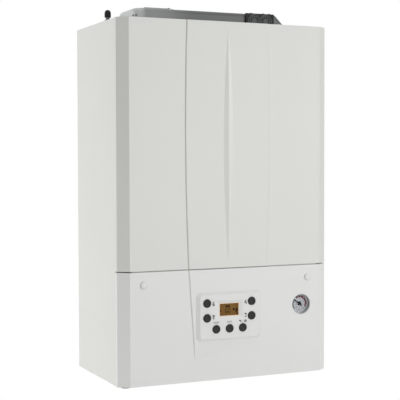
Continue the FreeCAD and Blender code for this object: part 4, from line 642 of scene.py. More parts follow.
# %% Smooth copies of the other pieces
SMOOTH = math.radians(24.0)
ROUNDING = {
    "flue_hood": 0.0008, "flue_duct": 0.0006, "expansion_vessel": 0.0010, "heat_cell": 0.0015,
    "burner_door": 0.0012, "fan_casing": 0.0010, "fan_motor": 0.0010, "air_mixer": 0.0010,
    "gas_valve": 0.0010, "flow_manifold": 0.0010, "return_manifold": 0.0010, "pump_casing": 0.0010,
    "pump_motor": 0.0008, "diverter_actuator": 0.0012, "safety_valve": 0.0005, "condensate_trap": 0.0008,
    "control_box": 0.0008, "gauge_case": 0.0, "screw_caps": 0.0003, "filling_knob": 0.0008,
    "safety_valve_knob": 0.0008, "door_nuts": 0.0004, "burner_tube": 0.0003, "ignition_electrodes": 0.0003,
    "hood_grille": 0.0003, "gauge_dial": 0.0, "cell_coil": 0.0, "flow_pipe": 0.0, "return_pipe": 0.0,
    "gas_inlet_pipe": 0.0, "gas_supply_pipe": 0.0, "vessel_pipe": 0.0, "condensate_pipe": 0.0,
    "fan_impeller": 0.0, "pump_impeller": 0.0, "diverter_spindle": 0.0005, "plate_exchanger": 0.0010,
}
for name, width in ROUNDING.items():
    copy = merged_copy(name)
    crease(copy, SMOOTH)
    if width:
        soften(copy, outer_edges(copy, SHARP), width, 2)
    weigh(settle(f"{name}_shape", copy, nodes[name]["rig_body"], slot_of[name], [name]))
print("smooth copies", len(ROUNDING))

# %% [markdown]
# Round pieces such as buttons and caps are turned: a profile of a few points is spun about an axis.
# The spin closes on itself, the poles are merged, and the normals are turned outwards. Most pieces are
# spun about one of two directions, so these get names.

# %% A turned piece
UP = Vector((0.0, 0.0, 1.0))
BACK = Vector((0.0, 1.0, 0.0))
FULL_TURN = 2.0 * math.pi
NO_SHIFT = (0.0, 0.0, 0.0)
TURNED_CREASE = math.radians(35.0)


def close_mesh(mesh):
    """Merge points that meet, and turn every face outwards."""
    bmesh.ops.remove_doubles(mesh, verts=mesh.verts, dist=MERGE)
    bmesh.ops.recalc_face_normals(mesh, faces=mesh.faces)


def turned(profile, centre, axis, steps=40):
    """Spin a profile of pairs, radius and distance along the axis, about a centre."""
    mesh = bmesh.new()
    across = axis.orthogonal().normalized()
    line = [mesh.verts.new(centre + across * radius + axis * along) for radius, along in profile]
    edges = [mesh.edges.new(pair) for pair in zip(line, line[1:])]
    bmesh.ops.spin(mesh, geom=line + edges, cent=centre, axis=axis, dvec=NO_SHIFT, angle=FULL_TURN,
                   steps=steps, use_merge=True, use_duplicate=False)
    close_mesh(mesh)
    crease(mesh, TURNED_CREASE)
    return mesh


def centre_of(node):
    low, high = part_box(node)
    return (low + high) / 2.0


print("profiles can be spun")

# %% [markdown]
# The seven push buttons are dark discs with a rounded rim and a slight dish for the fingertip. Behind
# the rim a skirt goes through the panel to a flange. Each button is its own moving body, so each gets
# its own piece, all from one profile.

# %% Push buttons
BUTTON_RADIUS = 0.008
BUTTON_DISH = 0.0005
BUTTON_RIM = 0.0010
SKIRT_END = 0.00455
FLANGE_END = 0.00575
STEM_RADIUS = 0.003
buttons = [name for name in nodes if name.endswith("_button")]
for name in buttons:
    low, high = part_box(name)
    length = high.y - low.y
    flange = (high.x - low.x) / 2.0
    profile = [
        (0.0, BUTTON_DISH),
        (BUTTON_RADIUS * 0.45, BUTTON_DISH * 0.8),
        (BUTTON_RADIUS - 2.2 * BUTTON_RIM, BUTTON_DISH * 0.1),
        (BUTTON_RADIUS - BUTTON_RIM, 0.0),
        (BUTTON_RADIUS - 0.3 * BUTTON_RIM, 0.3 * BUTTON_RIM),
        (BUTTON_RADIUS, BUTTON_RIM),
        (BUTTON_RADIUS, SKIRT_END),
        (flange, SKIRT_END),
        (flange, FLANGE_END),
        (STEM_RADIUS, FLANGE_END),
        (STEM_RADIUS, length),
        (0.0, length),
    ]
    front = Vector((centre_of(name).x, low.y, centre_of(name).z))
    button = turned(profile, front, BACK)
    settle(f"{name}_cap", button, nodes[name]["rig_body"], "button_grey", [name])
print(len(buttons), "buttons")

# %% [markdown]
# Prints on the panel are a fraction of a millimetre thick. Bars, arcs and letters are all flat shapes
# that face the front, so three helpers make them. A bar is a thin block, and other pieces use blocks
# too. An arc is a short radial edge, spun and then thickened. Letters start as a text object and are
# made a mesh before they are put in place.

# %% Flat prints
INK = 0.0002
LETTER_SIZE = 1.4
ARC_STEP = 6.0


def add_block(mesh, middle, size, turn=Matrix()):
    """A block with its middle at a point, turned by a matrix."""
    place = Matrix.Translation(middle) @ turn @ Matrix.Diagonal((*size, 1.0))
    bmesh.ops.create_cube(mesh, size=1.0, matrix=place)


def way_at(angle):
    """The direction at an angle, counted to the left from the three o'clock point."""
    return Vector((math.cos(math.radians(angle)), 0.0, math.sin(math.radians(angle))))


def add_bar(mesh, x, z, width, height, front, turn=0.0):
    """A flat bar with its middle at x and z and its face at front, turned by degrees."""
    add_block(mesh, (x, front + INK / 2.0, z), (width, INK, height),
              Matrix.Rotation(math.radians(turn), 4, "Y"))


def add_arc(mesh, centre, radius, width, start, end, front):
    """A flat arc between two angles."""
    hub = Vector((centre.x, front, centre.z))
    inner = mesh.verts.new(hub + way_at(start) * (radius - width / 2.0))
    outer = mesh.verts.new(hub + way_at(start) * (radius + width / 2.0))
    edge = mesh.edges.new((inner, outer))
    before = set(mesh.faces)
    bmesh.ops.spin(mesh, geom=[inner, outer, edge], cent=hub, axis=-BACK, dvec=NO_SHIFT,
                   angle=math.radians(end - start), steps=round((end - start) / ARC_STEP),
                   use_duplicate=False)
    strip = [face for face in mesh.faces if face not in before]
    made = bmesh.ops.extrude_face_region(mesh, geom=strip)
    moved = [item for item in made["geom"] if isinstance(item, bmesh.types.BMVert)]
    bmesh.ops.translate(mesh, verts=moved, vec=INK * BACK)


def add_words(mesh, words, height, x, z, front):
    """Letters with their middle at x and z."""
    curve = bpy.data.curves.new("letters", "FONT")
    curve.body = words
    curve.size = height * LETTER_SIZE
    curve.align_x = "CENTER"
    curve.align_y = "CENTER"
    curve.extrude = INK / 2.0
    curve.resolution_u = 3
    text = bpy.data.objects.new("letters", curve)
    scene.collection.objects.link(text)
    bpy.context.view_layer.update()
    flat = bpy.data.meshes.new_from_object(text.evaluated_get(bpy.context.evaluated_depsgraph_get()))
    flat.transform(Matrix.Translation((x, front + INK / 2.0, z)) @ Matrix.Rotation(math.pi / 2.0, 4, "X"))
    mesh.from_mesh(flat)
    bpy.data.objects.remove(text)
    bpy.data.curves.remove(curve)
    bpy.data.meshes.remove(flat)


print("bars, arcs and letters can be printed")

# %% [markdown]
# Small signs stand beside the buttons: a radiator or a tap with an arrow up or down, and plain words
# over the lower row. They are printed in soft black, in thin strokes and small blocks.

# %% Signs on the panel
SIGN_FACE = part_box("control_fascia")[0].y - INK / 2.0
STROKE = 0.0007
SIGN_SIZE = 0.0044
SIGN_REACH = 0.0132
ARROW_SHIFT = 0.0016
SIGN_SHIFT = 0.0032
LABEL_RISE = 0.0125
WORD_HEIGHT = 0.0034
SEASON_REACH = 0.0058


def add_arrow(mesh, x, z, size, way):
    """An open arrowhead, up for way 1 and down for way -1."""
    for side in (-1, 1):
        add_bar(mesh, x + side * size * 0.27, z, STROKE, size, SIGN_FACE, way * side * -35.0)
    add_bar(mesh, x, z - way * size * 0.42, size * 1.05, STROKE, SIGN_FACE)


def add_radiator(mesh, x, z, size):
    for column in (-1.5, -0.5, 0.5, 1.5):
        add_bar(mesh, x + column * size * 0.27, z, size * 0.17, size, SIGN_FACE)
    for row in (-0.36, 0.36):
        add_bar(mesh, x, z + row * size, size, STROKE, SIGN_FACE)


def add_tap(mesh, x, z, size):
    add_bar(mesh, x, z + size * 0.22, size, size * 0.36, SIGN_FACE)
    add_bar(mesh, x - size * 0.08, z + size * 0.50, size * 0.6, STROKE, SIGN_FACE)
    add_bar(mesh, x + size * 0.33, z - size * 0.06, size * 0.34, size * 0.5, SIGN_FACE)
    add_bar(mesh, x + size * 0.33, z - size * 0.46, size * 0.24, size * 0.24, SIGN_FACE)


signs = bmesh.new()
for name, sign, inward in (
    ("heating_up_button", add_radiator, 1), ("heating_down_button", add_radiator, 1),
    ("water_up_button", add_tap, -1), ("water_down_button", add_tap, -1),
):
    spot = centre_of(name)
    way = 1 if "_up_" in name else -1
    x = spot.x + inward * SIGN_REACH
    add_arrow(signs, x, spot.z + way * ARROW_SHIFT, SIGN_SIZE * 0.8, way)
    sign(signs, x, spot.z - way * SIGN_SHIFT, SIGN_SIZE)
for name, words in (("reset_button", "RESET"), ("info_button", "INFO")):
    spot = centre_of(name)
    add_words(signs, words, WORD_HEIGHT, spot.x, spot.z + LABEL_RISE, SIGN_FACE)
season = centre_of("season_button")
season_z = season.z + LABEL_RISE
add_tap(signs, season.x - SEASON_REACH, season_z, SIGN_SIZE)
add_bar(signs, season.x, season_z, STROKE, SIGN_SIZE * 1.2, SIGN_FACE, 30.0)
add_radiator(signs, season.x + SEASON_REACH, season_z, SIGN_SIZE)
close_mesh(signs)
signs_piece = settle("panel_signs", signs, "control_panel", "gauge_black", finish="print_grey")
print("sign faces", len(signs_piece.data.polygons))

# %% [markdown]
# On the display stand two digits, each from a pattern of seven bars, with small marks around them. A
# table says which bars a digit lights. The numeral here is only a sample. Most marks are bars too, in a
# table of x, height from the window's middle, width, height and turn.

# %% Digits and marks on the display
MARK_FACE = display_low.y - INK / 2.0
DIGIT_HEIGHT = 0.0088
DIGIT_WIDTH = 0.0042
DIGIT_DROP = 0.0022
BAR_WIDTH = 0.0015
BARS = {
    "top": (0.0, 1.0, False), "middle": (0.0, 0.0, False), "foot": (0.0, -1.0, False),
    "upper_left": (-1.0, 0.5, True), "upper_right": (1.0, 0.5, True),
    "lower_left": (-1.0, -0.5, True), "lower_right": (1.0, -0.5, True),
}
LIT = {
    "6": ("top", "middle", "foot", "upper_left", "lower_left", "lower_right"),
    "0": ("top", "foot", "upper_left", "upper_right", "lower_left", "lower_right"),
}
DIGITS = (("6", -0.0060), ("0", 0.0004))
UPRIGHT_BAR = (BAR_WIDTH, DIGIT_HEIGHT / 2.0 - BAR_WIDTH)
LEVEL_BAR = (DIGIT_WIDTH - BAR_WIDTH, BAR_WIDTH)
MARKS = [(-0.0066 + column * 0.0024, 0.0064, 0.0014, 0.0046, 0.0) for column in range(4)] + [
    (-0.0030, 0.0056, 0.0096, 0.0014, 0.0),
    (-0.0182, -0.0025, 0.0022, 0.0040, 0.0),
    (0.0098, 0.0004, 0.0034, 0.0034, 45.0),
    (0.0098, -0.0008, 0.0046, 0.0022, 0.0),
    (0.0168, -0.0082, 0.0030, 0.0022, 0.0),
]
FLAME_X = 0.0140
FLAME_DROP = 0.0012
FLAME_ARC = {"radius": 0.0026, "width": 0.0030, "start": -110.0, "end": 80.0}


def add_digit(mesh, digit, x, z):
    for bar in LIT[digit]:
        across, up, upright = BARS[bar]
        size = UPRIGHT_BAR if upright else LEVEL_BAR
        add_bar(mesh, x + across * DIGIT_WIDTH / 2.0, z + up * DIGIT_HEIGHT / 2.0, *size, MARK_FACE)


marks = bmesh.new()
for digit, x in DIGITS:
    add_digit(marks, digit, x, window_z - DIGIT_DROP)
for x, rise, width, height, turn in MARKS:
    add_bar(marks, x, window_z + rise, width, height, MARK_FACE, turn)
add_arc(marks, Vector((FLAME_X, 0.0, window_z - FLAME_DROP)), front=MARK_FACE, **FLAME_ARC)
close_mesh(marks)
marks_piece = settle("display_marks", marks, "control_panel", "display_amber", finish="display_ink")
print("mark faces", len(marks_piece.data.polygons))

# %% [markdown]
# Light from the display colours the edge of its window a pale orange. A thin rim runs round the
# opening and carries that light as painted colour and a faint glow. It is a rectangle with an inset,
# whose middle is removed.

# %% Painted glow round the window
WINDOW_HALF = 0.0197
WINDOW_HEIGHT = 0.023
GLOW_RIM = 0.0011
GLOW_RIM_THICK = 0.0006
GLOW_RIM_SET = 0.0004
# The rim's pale orange and its glow are painted light from the display.
display_glow_paint = Finish("painted_window_glow", {"Roughness": 0.5, "Emission Strength": 0.06})
display_glow_colour = display_glow_paint.blend(display_glow_paint.noise(300.0), (0.80, 0.50, 0.26, 1.0), (0.88, 0.62, 0.38, 1.0))
display_glow_paint.link(colour=display_glow_colour)
display_glow_paint.tree.links.new(display_glow_colour.socket, display_glow_paint.shader.inputs["Emission Color"])
finishes["painted_window_glow"] = display_glow_paint.material

glow_rim = bmesh.new()
glow_rim_place = (
    Matrix.Translation((0.0, display_low.y - GLOW_RIM_SET, window_z))
    @ Matrix.Rotation(math.pi / 2.0, 4, "X")
    @ Matrix.Diagonal((WINDOW_HALF + GLOW_RIM, WINDOW_HEIGHT / 2.0 + GLOW_RIM, 1.0, 1.0))
)
bmesh.ops.create_grid(glow_rim, x_segments=1, y_segments=1, size=1.0, matrix=glow_rim_place)
border = bmesh.ops.inset_individual(glow_rim, faces=glow_rim.faces[:], thickness=GLOW_RIM)["faces"]
bmesh.ops.delete(glow_rim, geom=[face for face in glow_rim.faces if face not in border], context="FACES")
bmesh.ops.solidify(glow_rim, geom=glow_rim.faces[:], thickness=-GLOW_RIM_THICK)
bmesh.ops.recalc_face_normals(glow_rim, faces=glow_rim.faces)
settle("display_glow_rim", glow_rim, "control_panel", "display_amber", finish="painted_window_glow")
print("window trim")

# %% [markdown]
# The pressure gauge has a printed dial: a dark scale on the left, a long red arc for high pressure and
# short ticks with numbers from 0 to 4. The needle is a slim blade on a domed hub.

# %% Gauge dial and needle
dial_centre = centre_of("gauge_dial")
DIAL_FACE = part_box("gauge_dial")[0].y - INK / 2.0
SCALE_RADIUS = 0.0145
SCALE_START = 225.0
SCALE_SWEEP = -270.0
DARK_ARC = {"radius": SCALE_RADIUS, "width": 0.0026, "start": 152.0, "end": 213.0}
RED_ARC = {"radius": SCALE_RADIUS - 0.0004, "width": 0.0040, "start": -26.0, "end": 125.0}
LAST_NUMBER = 4
NUMBER_TICKS = 4
TICK_COUNT = LAST_NUMBER * NUMBER_TICKS
TICK_LONG = 0.0028
TICK_SHORT = 0.0016
TICK_WIDTH = 0.0005
NUMBER_RADIUS = 0.0096
NUMBER_HEIGHT = 0.0024
UNIT_HEIGHT = 0.0022
UNIT_PLACE = dial_centre + Vector((-0.0006, 0.0, -0.0118))
scale = bmesh.new()
add_arc(scale, dial_centre, front=DIAL_FACE, **DARK_ARC)
for step in range(TICK_COUNT + 1):
    angle = SCALE_START + SCALE_SWEEP * step / TICK_COUNT
    reach = TICK_LONG if step % NUMBER_TICKS == 0 else TICK_SHORT
    spot = dial_centre + way_at(angle) * (SCALE_RADIUS - reach / 2.0)
    add_bar(scale, spot.x, spot.z, reach, TICK_WIDTH, DIAL_FACE, -angle)
for value in range(LAST_NUMBER + 1):
    spot = dial_centre + way_at(SCALE_START + SCALE_SWEEP * value / LAST_NUMBER) * NUMBER_RADIUS
    add_words(scale, str(value), NUMBER_HEIGHT, spot.x, spot.z, DIAL_FACE)
add_words(scale, "bar", UNIT_HEIGHT, UNIT_PLACE.x, UNIT_PLACE.z, DIAL_FACE)
close_mesh(scale)
settle("gauge_scale", scale, "control_panel", "gauge_face", finish="gauge_black")

red = bmesh.new()
add_arc(red, dial_centre, front=DIAL_FACE - INK / 2.0, **RED_ARC)
close_mesh(red)
settle("gauge_red_arc", red, "control_panel", "gauge_face", finish="gauge_red")

NEEDLE_ANGLE = 145.0
NEEDLE_SET = 0.0016
NEEDLE_THICK = 0.0006
NEEDLE_ARMS = ((0.0155, 0.0023), (-0.0066, 0.0030))
HUB_PROFILE = [
    (0.0, 0.0), (0.0020, 0.0002), (0.0036, 0.0007), (0.0041, 0.0014), (0.0041, 0.0022), (0.0, 0.0022),
]
needle_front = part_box("gauge_needle")[0].y
needle = turned(HUB_PROFILE, Vector((dial_centre.x, needle_front, dial_centre.z)), BACK, 28)
for reach, width in NEEDLE_ARMS:
    spot = dial_centre + way_at(NEEDLE_ANGLE) * reach / 2.0
    add_block(needle, (spot.x, needle_front + NEEDLE_SET, spot.z), (abs(reach), NEEDLE_THICK, width),
              Matrix.Rotation(math.radians(-NEEDLE_ANGLE), 4, "Y"))
settle("needle_blade", needle, "needle", "gauge_black", ["gauge_needle"])
print("gauge dial and needle")

# %% [markdown]
# The gauge's lens is a clear disc that snaps into the case. It is a hair smaller than its bore and has
# a slight dome, so it catches one soft highlight.

# %% Gauge lens
lens_low, lens_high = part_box("gauge_lens")
LENS_ROOM = 0.0001
LENS_RADIUS = (lens_high.x - lens_low.x) / 2.0 - LENS_ROOM
LENS_THICK = lens_high.y - lens_low.y
lens_disc = turned([
    (0.0, 0.0), (LENS_RADIUS * 0.5, 0.00006), (LENS_RADIUS * 0.85, 0.0002), (LENS_RADIUS, 0.0004),
    (LENS_RADIUS, LENS_THICK), (0.0, LENS_THICK),
], Vector((dial_centre.x, lens_low.y, dial_centre.z)), BACK, 48)
settle("lens_disc", lens_disc, "control_panel", "clear", ["gauge_lens"])
print("lens of radius", round(LENS_RADIUS, 4))

# %% [markdown]
# The charging valve's cap is a small black dome with ribs for the fingers, on a neck with a six-sided
# nut. The dome is turned, and one thin rib is copied round it.

# %% Valve cap
cap_low, cap_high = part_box("vessel_valve_cap")
cap_radius = (cap_high.x - cap_low.x) / 2.0
cap_height = cap_high.z - cap_low.z
cap_foot = Vector((centre_of("vessel_valve_cap").x, centre_of("vessel_valve_cap").y, cap_low.z))
BORE_RADIUS = 0.00405
CAP_TOP = 0.004
BORE_DEPTH = cap_height - CAP_TOP
SKIRT_RADIUS = cap_radius * 0.95
cap = turned([
    (0.0, BORE_DEPTH),
    (BORE_RADIUS, BORE_DEPTH),
    (BORE_RADIUS, 0.0),
    (SKIRT_RADIUS, 0.0),
    (SKIRT_RADIUS, cap_height * 0.68),
    (cap_radius * 0.86, cap_height * 0.80),
    (cap_radius * 0.66, cap_height * 0.90),
    (cap_radius * 0.34, cap_height * 0.97),
    (0.0, cap_height),
], cap_foot, UP, 36)
GRIP_COUNT = 18
GRIP_WIDTH = 0.0008
for index in range(GRIP_COUNT):
    turn = Matrix.Rotation(FULL_TURN * index / GRIP_COUNT, 4, "Z")
    middle = cap_foot + turn @ Vector((SKIRT_RADIUS, 0.0, cap_height * 0.34))
    add_block(cap, middle, (cap_radius * 0.1, GRIP_WIDTH, cap_height * 0.62), turn)
settle("valve_cap_dome", cap, "vessel_valve_cap", "dark_plastic", ["vessel_valve_cap"])


def round_all(mesh, width):
    """Round every edge of a mesh."""
    crease(mesh, CREASE)
    soften(mesh, mesh.edges[:], width, 2)


def add_hexagon(mesh, middle, radius, height):
    bmesh.ops.create_cone(mesh, cap_ends=True, segments=6, radius1=radius, radius2=radius, depth=height,
                          matrix=Matrix.Translation(middle))


NUT_RADIUS = 0.00675
NUT_HEIGHT = 0.006
NUT_DROP = 0.0075
NUT_EDGE = 0.0005
nut = bmesh.new()
add_hexagon(nut, cap_foot - NUT_DROP * UP, NUT_RADIUS, NUT_HEIGHT)
round_all(nut, NUT_EDGE)
settle("valve_nut", nut, "frame", "steel")
print("valve cap with", GRIP_COUNT, "ribs")

# %% [markdown]
# The hood's intake has two round grilles. Each is a set of wire rings on spokes. One ring is a small
# circle spun round the grille's axis.

# %% Intake rings
grille_low, grille_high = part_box("hood_grille")
grille_z = (grille_low.z + grille_high.z) / 2.0
GRILLE_SHARES = (0.3, 0.7)
WIRE = 0.0009
RING_CREASE = math.radians(50.0)
RING_RADII = (0.0128, 0.0096, 0.0042)
SPOKE = 0.0250
SPOKE_COUNT = 6
rings = bmesh.new()
for share in GRILLE_SHARES:
    middle = Vector((grille_low.x + (grille_high.x - grille_low.x) * share, grille_low.y, grille_z))
    for radius in RING_RADII:
        ring = bmesh.ops.create_circle(rings, segments=6, radius=WIRE, matrix=Matrix.Translation(
            middle + Vector((radius, 0.0, 0.0))))["verts"]
        loop = [edge for edge in rings.edges if all(vert in ring for vert in edge.verts)]
        bmesh.ops.spin(rings, geom=ring + loop, cent=middle, axis=BACK, dvec=NO_SHIFT, angle=FULL_TURN,
                       steps=28, use_merge=True)
    for index in range(SPOKE_COUNT):
        turn = Matrix.Rotation(math.pi * index / SPOKE_COUNT, 4, "Y")
        add_block(rings, middle, (SPOKE, WIRE, WIRE), turn)
close_mesh(rings)
crease(rings, RING_CREASE)
rings_piece = settle("intake_rings", rings, "frame", "hood_grey")
print("intake rings", len(rings_piece.data.polygons), "faces")

# %% [markdown]
# Screws hold the hood. A pan head is turned from a short profile and lies along any axis. Two bars of
# shadow in its crown read as a cross of slots at this size. Four heads stand on the hood's top where
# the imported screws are, and two small ones sit on its rounded left corner.

# %% Hood screws
CROWN = 0.55
HOOD_RADIUS = 0.022
CORNER_SCREW = {"z": 0.0535, "radius": 0.0019, "angles": (47.0, 66.0)}


def add_screw(heads, slot_shadows, spot, axis, radius):
    """A pan head whose foot is at spot, with two crossed bars of painted shadow in its crown."""
    crown = CROWN * radius
    head = turned([(radius, 0.0), (radius, 0.3 * crown), (0.75 * radius, 0.8 * crown), (0.0, crown)],
                  spot, axis, 16)
    data = bpy.data.meshes.new("head")
    head.to_mesh(data)
    head.free()
    heads.from_mesh(data)
    bpy.data.meshes.remove(data)
    turn = UP.rotation_difference(axis).to_matrix().to_4x4()
    for quarter in range(2):
        add_block(slot_shadows, spot + 0.97 * crown * axis, (1.1 * radius, 0.28 * radius, 0.2 * radius),
                  turn @ Matrix.Rotation(math.pi / 2.0 * quarter, 4, "Z"))


screw_low, screw_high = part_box("hood_screws")
screw_y = (screw_low.y + screw_high.y) / 2.0
SCREW_RADIUS = (screw_high.y - screw_low.y) / 2.0
screw_xs = []
for vert in nodes["hood_screws"].data.vertices:
    if abs(vert.co.y - screw_low.y) < MERGE and not any(abs(vert.co.x - x) < SCREW_RADIUS for x in screw_xs):
        screw_xs.append(vert.co.x)
heads = bmesh.new()
slot_shadows = bmesh.new()
for x in screw_xs:
    add_screw(heads, slot_shadows, Vector((x, screw_y, screw_high.z - CROWN * SCREW_RADIUS)), UP, SCREW_RADIUS)
hood_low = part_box("flue_hood")[0]
for angle in CORNER_SCREW["angles"]:
    out = Vector((-math.sin(math.radians(angle)), -math.cos(math.radians(angle)), 0.0))
    x = hood_low.x + HOOD_RADIUS * (1.0 + out.x)
    y = hood_low.y + HOOD_RADIUS * (1.0 + out.y)
    add_screw(heads, slot_shadows, Vector((x, y, CORNER_SCREW["z"])), out, CORNER_SCREW["radius"])
settle("hood_screw_heads", heads, "frame", "steel", finish="screw_steel")
# The slots are painted shadow: dark bars in the crowns of the heads.
settle("hood_screw_slot_shadows", slot_shadows, "frame", "steel", finish="gauge_black")
print(len(screw_xs), "screws on the top and two on the corner")

# %% [markdown]
# A rubber ring with two soft lips sits inside the mouth of the flue socket and seals the flue pipe that
# is pushed into it. Its profile is spun round the socket's axis.

# %% Flue seal
SEAL_DEPTH = 0.012
SEAL_PROFILE = [
    (0.0402, 0.0), (0.0392, 0.0008), (0.0386, 0.0030), (0.0394, 0.0044), (0.0392, 0.0056),
    (0.0386, 0.0078), (0.0392, 0.0094), (0.0402, 0.0100), (0.0402, 0.0),
]
duct = centre_of("flue_duct")
seal_foot = Vector((duct.x, duct.y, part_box("flue_duct")[1].z - SEAL_DEPTH))
settle("flue_seal", turned(SEAL_PROFILE, seal_foot, UP, 64), "frame", "dark_plastic", finish="seal_rubber")
print("flue seal")

# %% [markdown]
# The five tails under the boiler are threaded. A thread is a small ridge that winds round the pipe, so
# a triangle is spun and lifted a little at every step.

# %% Threads on the tails
THREAD_PITCH = 0.0018
THREAD_RISE = 0.0005
THREAD_ROOT = 0.0001
THREAD_START = 0.0008
TURN_STEPS = 24
threads = bmesh.new()
for mount in frame["record"]["mounts"]:
    if not mount["name"].endswith("_tail"):
        continue
    x, y = mount["pos_m"][:2]
    radius = mount["dims"]["r_mm"] / 1000.0
    turns = int(mount["dims"]["length_mm"] / 1000.0 / THREAD_PITCH) - 1
    foot = Vector((x, y, cad_low.z + THREAD_START))
    ridge = [
        threads.verts.new(foot + Vector((radius + rise, 0.0, THREAD_PITCH * share)))
        for rise, share in ((-THREAD_ROOT, 0.0), (THREAD_RISE, 0.4), (-THREAD_ROOT, 0.8))
    ]
    sides = [threads.edges.new(pair) for pair in zip(ridge, ridge[1:])]
    bmesh.ops.spin(threads, geom=ridge + sides, cent=foot, axis=UP,
                   dvec=(0.0, 0.0, THREAD_PITCH / TURN_STEPS), angle=FULL_TURN * turns,
                   steps=TURN_STEPS * turns, use_duplicate=False)
bmesh.ops.recalc_face_normals(threads, faces=threads.faces)
threads_piece = settle("tail_threads", threads, "frame", "brass")
print("thread faces", len(threads_piece.data.polygons))

# %% [markdown]
# Pipes inside the boiler end in six-sided union nuts. The middle of a pipe's end is found from the
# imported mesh, and a nut is put round it and rounded.

# %% Union nuts
UNION_HEIGHT = 0.014
UNION_SET = UNION_HEIGHT * 0.6
UNION_EDGE = 0.0009
END_ROOM = 0.0001
UNIONS = (
    ("flow_pipe", False, 0.0140), ("flow_pipe", True, 0.0140),
    ("return_pipe", False, 0.0140), ("return_pipe", True, 0.0140),
    ("vessel_pipe", True, 0.0105), ("gas_supply_pipe", False, 0.0105),
)


def corners_of(points):
    """The lowest and the highest corner of a box round some points."""
    low = Vector([min(point[axis] for point in points) for axis in range(3)])
    high = Vector([max(point[axis] for point in points) for axis in range(3)])
    return low, high


def pipe_end(node, highest):
    """The middle of a pipe's end ring, at its lowest or highest place."""
    points = [vert.co for vert in nodes[node].data.vertices]
    limit = (max if highest else min)(point.z for point in points)
    low, high = corners_of([point for point in points if abs(point.z - limit) < END_ROOM])
    return (low + high) / 2.0


unions = bmesh.new()
for node, highest, radius in UNIONS:
    lift = -UNION_SET if highest else UNION_SET
    add_hexagon(unions, pipe_end(node, highest) + lift * UP, radius, UNION_HEIGHT)
round_all(unions, UNION_EDGE)
settle("union_nuts", unions, "frame", "brass")
print(len(UNIONS), "union nuts")

# %% [markdown]
# The heater for tap water is a stack of thin pressed plates, brazed together between two thicker ones.
# One plate with round corners is made and copied along the stack, so the plates' edges show as ribs.

# %% Plate stack
stack_low, stack_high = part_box("plate_exchanger")
END_PLATE = 0.003
PLATE_PITCH = 0.0024
PLATE_THICK = 0.0012
PLATE_SET = 0.0008
plate_count = int((stack_high.y - stack_low.y - 2.0 * END_PLATE) / PLATE_PITCH)
stack_middle = (stack_low + stack_high) / 2.0
plate_width = stack_high.x - stack_low.x - 2.0 * PLATE_SET
plate_height = stack_high.z - stack_low.z - 2.0 * PLATE_SET
plates = bmesh.new()
add_block(plates, (stack_middle.x, stack_low.y + END_PLATE + PLATE_PITCH / 2.0, stack_middle.z),
          (plate_width, PLATE_THICK, plate_height))
crease(plates, CREASE)
corners = [edge for edge in plates.edges if abs(edge.verts[0].co.y - edge.verts[1].co.y) > PLATE_THICK / 2.0]
soften(plates, corners, plate_height / 5.0, 4)
first_plate = plates.verts[:] + plates.edges[:] + plates.faces[:]
for index in range(1, plate_count):
    copied = bmesh.ops.duplicate(plates, geom=first_plate)["geom"]
    points = [item for item in copied if isinstance(item, bmesh.types.BMVert)]
    bmesh.ops.translate(plates, verts=points, vec=PLATE_PITCH * index * BACK)
settle("exchanger_plates", plates, "frame", "steel")
print(plate_count, "plates")

# %% [markdown]
# Mouldings and castings inside the boiler are stiffened with ribs and closed with screws. The flat face
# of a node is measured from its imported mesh, and bars with rounded edges are laid on it.

# %% Ribs and screws inside
RIB_RISE = 0.0012
RIB_WIDTH = 0.0024
RIB_EDGE = 0.0004
MANIFOLD_RIBS = {"count": 4, "margin": 0.010}
BOX_RIBS = {"count": 17, "margin": 0.012}
VALVE_SCREWS = {"margin": 0.006, "radius": 0.0026}
BOX_SCREWS = {"margin": 0.005, "radius": 0.0024}
MOTOR_SCREW_RADIUS = 0.009


def flat_face(node, facing):
    """The corners of a node's largest flat face that looks forwards, for -1, or backwards, for 1."""
    data = nodes[node].data
    levels = {}
    for polygon in data.polygons:
        if polygon.normal.y * facing > 0.99:
            levels.setdefault(round(polygon.center.y, 4), []).append(polygon)
    widest = max(levels.values(), key=lambda level: sum(polygon.area for polygon in level))
    return corners_of([data.vertices[index].co for polygon in widest for index in polygon.vertices])


def add_ribs(mesh, low, high, count, margin):
    """Upright ribs on a face, joined by one across the top and one across the foot."""
    middle = (low + high) / 2.0
    height = high.z - low.z - 2.0 * margin
    reach = high.x - low.x - 2.0 * margin
    for index in range(count):
        x = low.x + margin + reach * index / (count - 1)
        add_block(mesh, (x, middle.y, middle.z), (RIB_WIDTH, 2.0 * RIB_RISE, height))
    for z in (low.z + margin, high.z - margin):
        add_block(mesh, (middle.x, middle.y, z), (reach + RIB_WIDTH, 2.0 * RIB_RISE, RIB_WIDTH))


def add_corner_screws(heads, slot_shadows, low, high, facing, margin, radius):
    for x in (low.x + margin, high.x - margin):
        for z in (low.z + margin, high.z - margin):
            add_screw(heads, slot_shadows, Vector((x, low.y, z)), facing * BACK, radius)


block_ribs = bmesh.new()
for node in ("flow_manifold", "return_manifold"):
    add_ribs(block_ribs, *flat_face(node, -1.0), **MANIFOLD_RIBS)
round_all(block_ribs, RIB_EDGE)
settle("manifold_ribs", block_ribs, "frame", "composite")

box_low, box_high = flat_face("control_box", 1.0)
box_ribs = bmesh.new()
add_ribs(box_ribs, box_low, box_high, **BOX_RIBS)
round_all(box_ribs, RIB_EDGE)
settle("control_box_ribs", box_ribs, "control_panel", "dark_plastic")

inner_heads = bmesh.new()
inner_slot_shadows = bmesh.new()
add_corner_screws(inner_heads, inner_slot_shadows, *flat_face("gas_valve", -1.0), -1.0, **VALVE_SCREWS)
motor_low, motor_high = flat_face("pump_motor", -1.0)
add_screw(inner_heads, inner_slot_shadows, (motor_low + motor_high) / 2.0, -BACK, MOTOR_SCREW_RADIUS)
settle("inner_screw_heads", inner_heads, "frame", "steel")
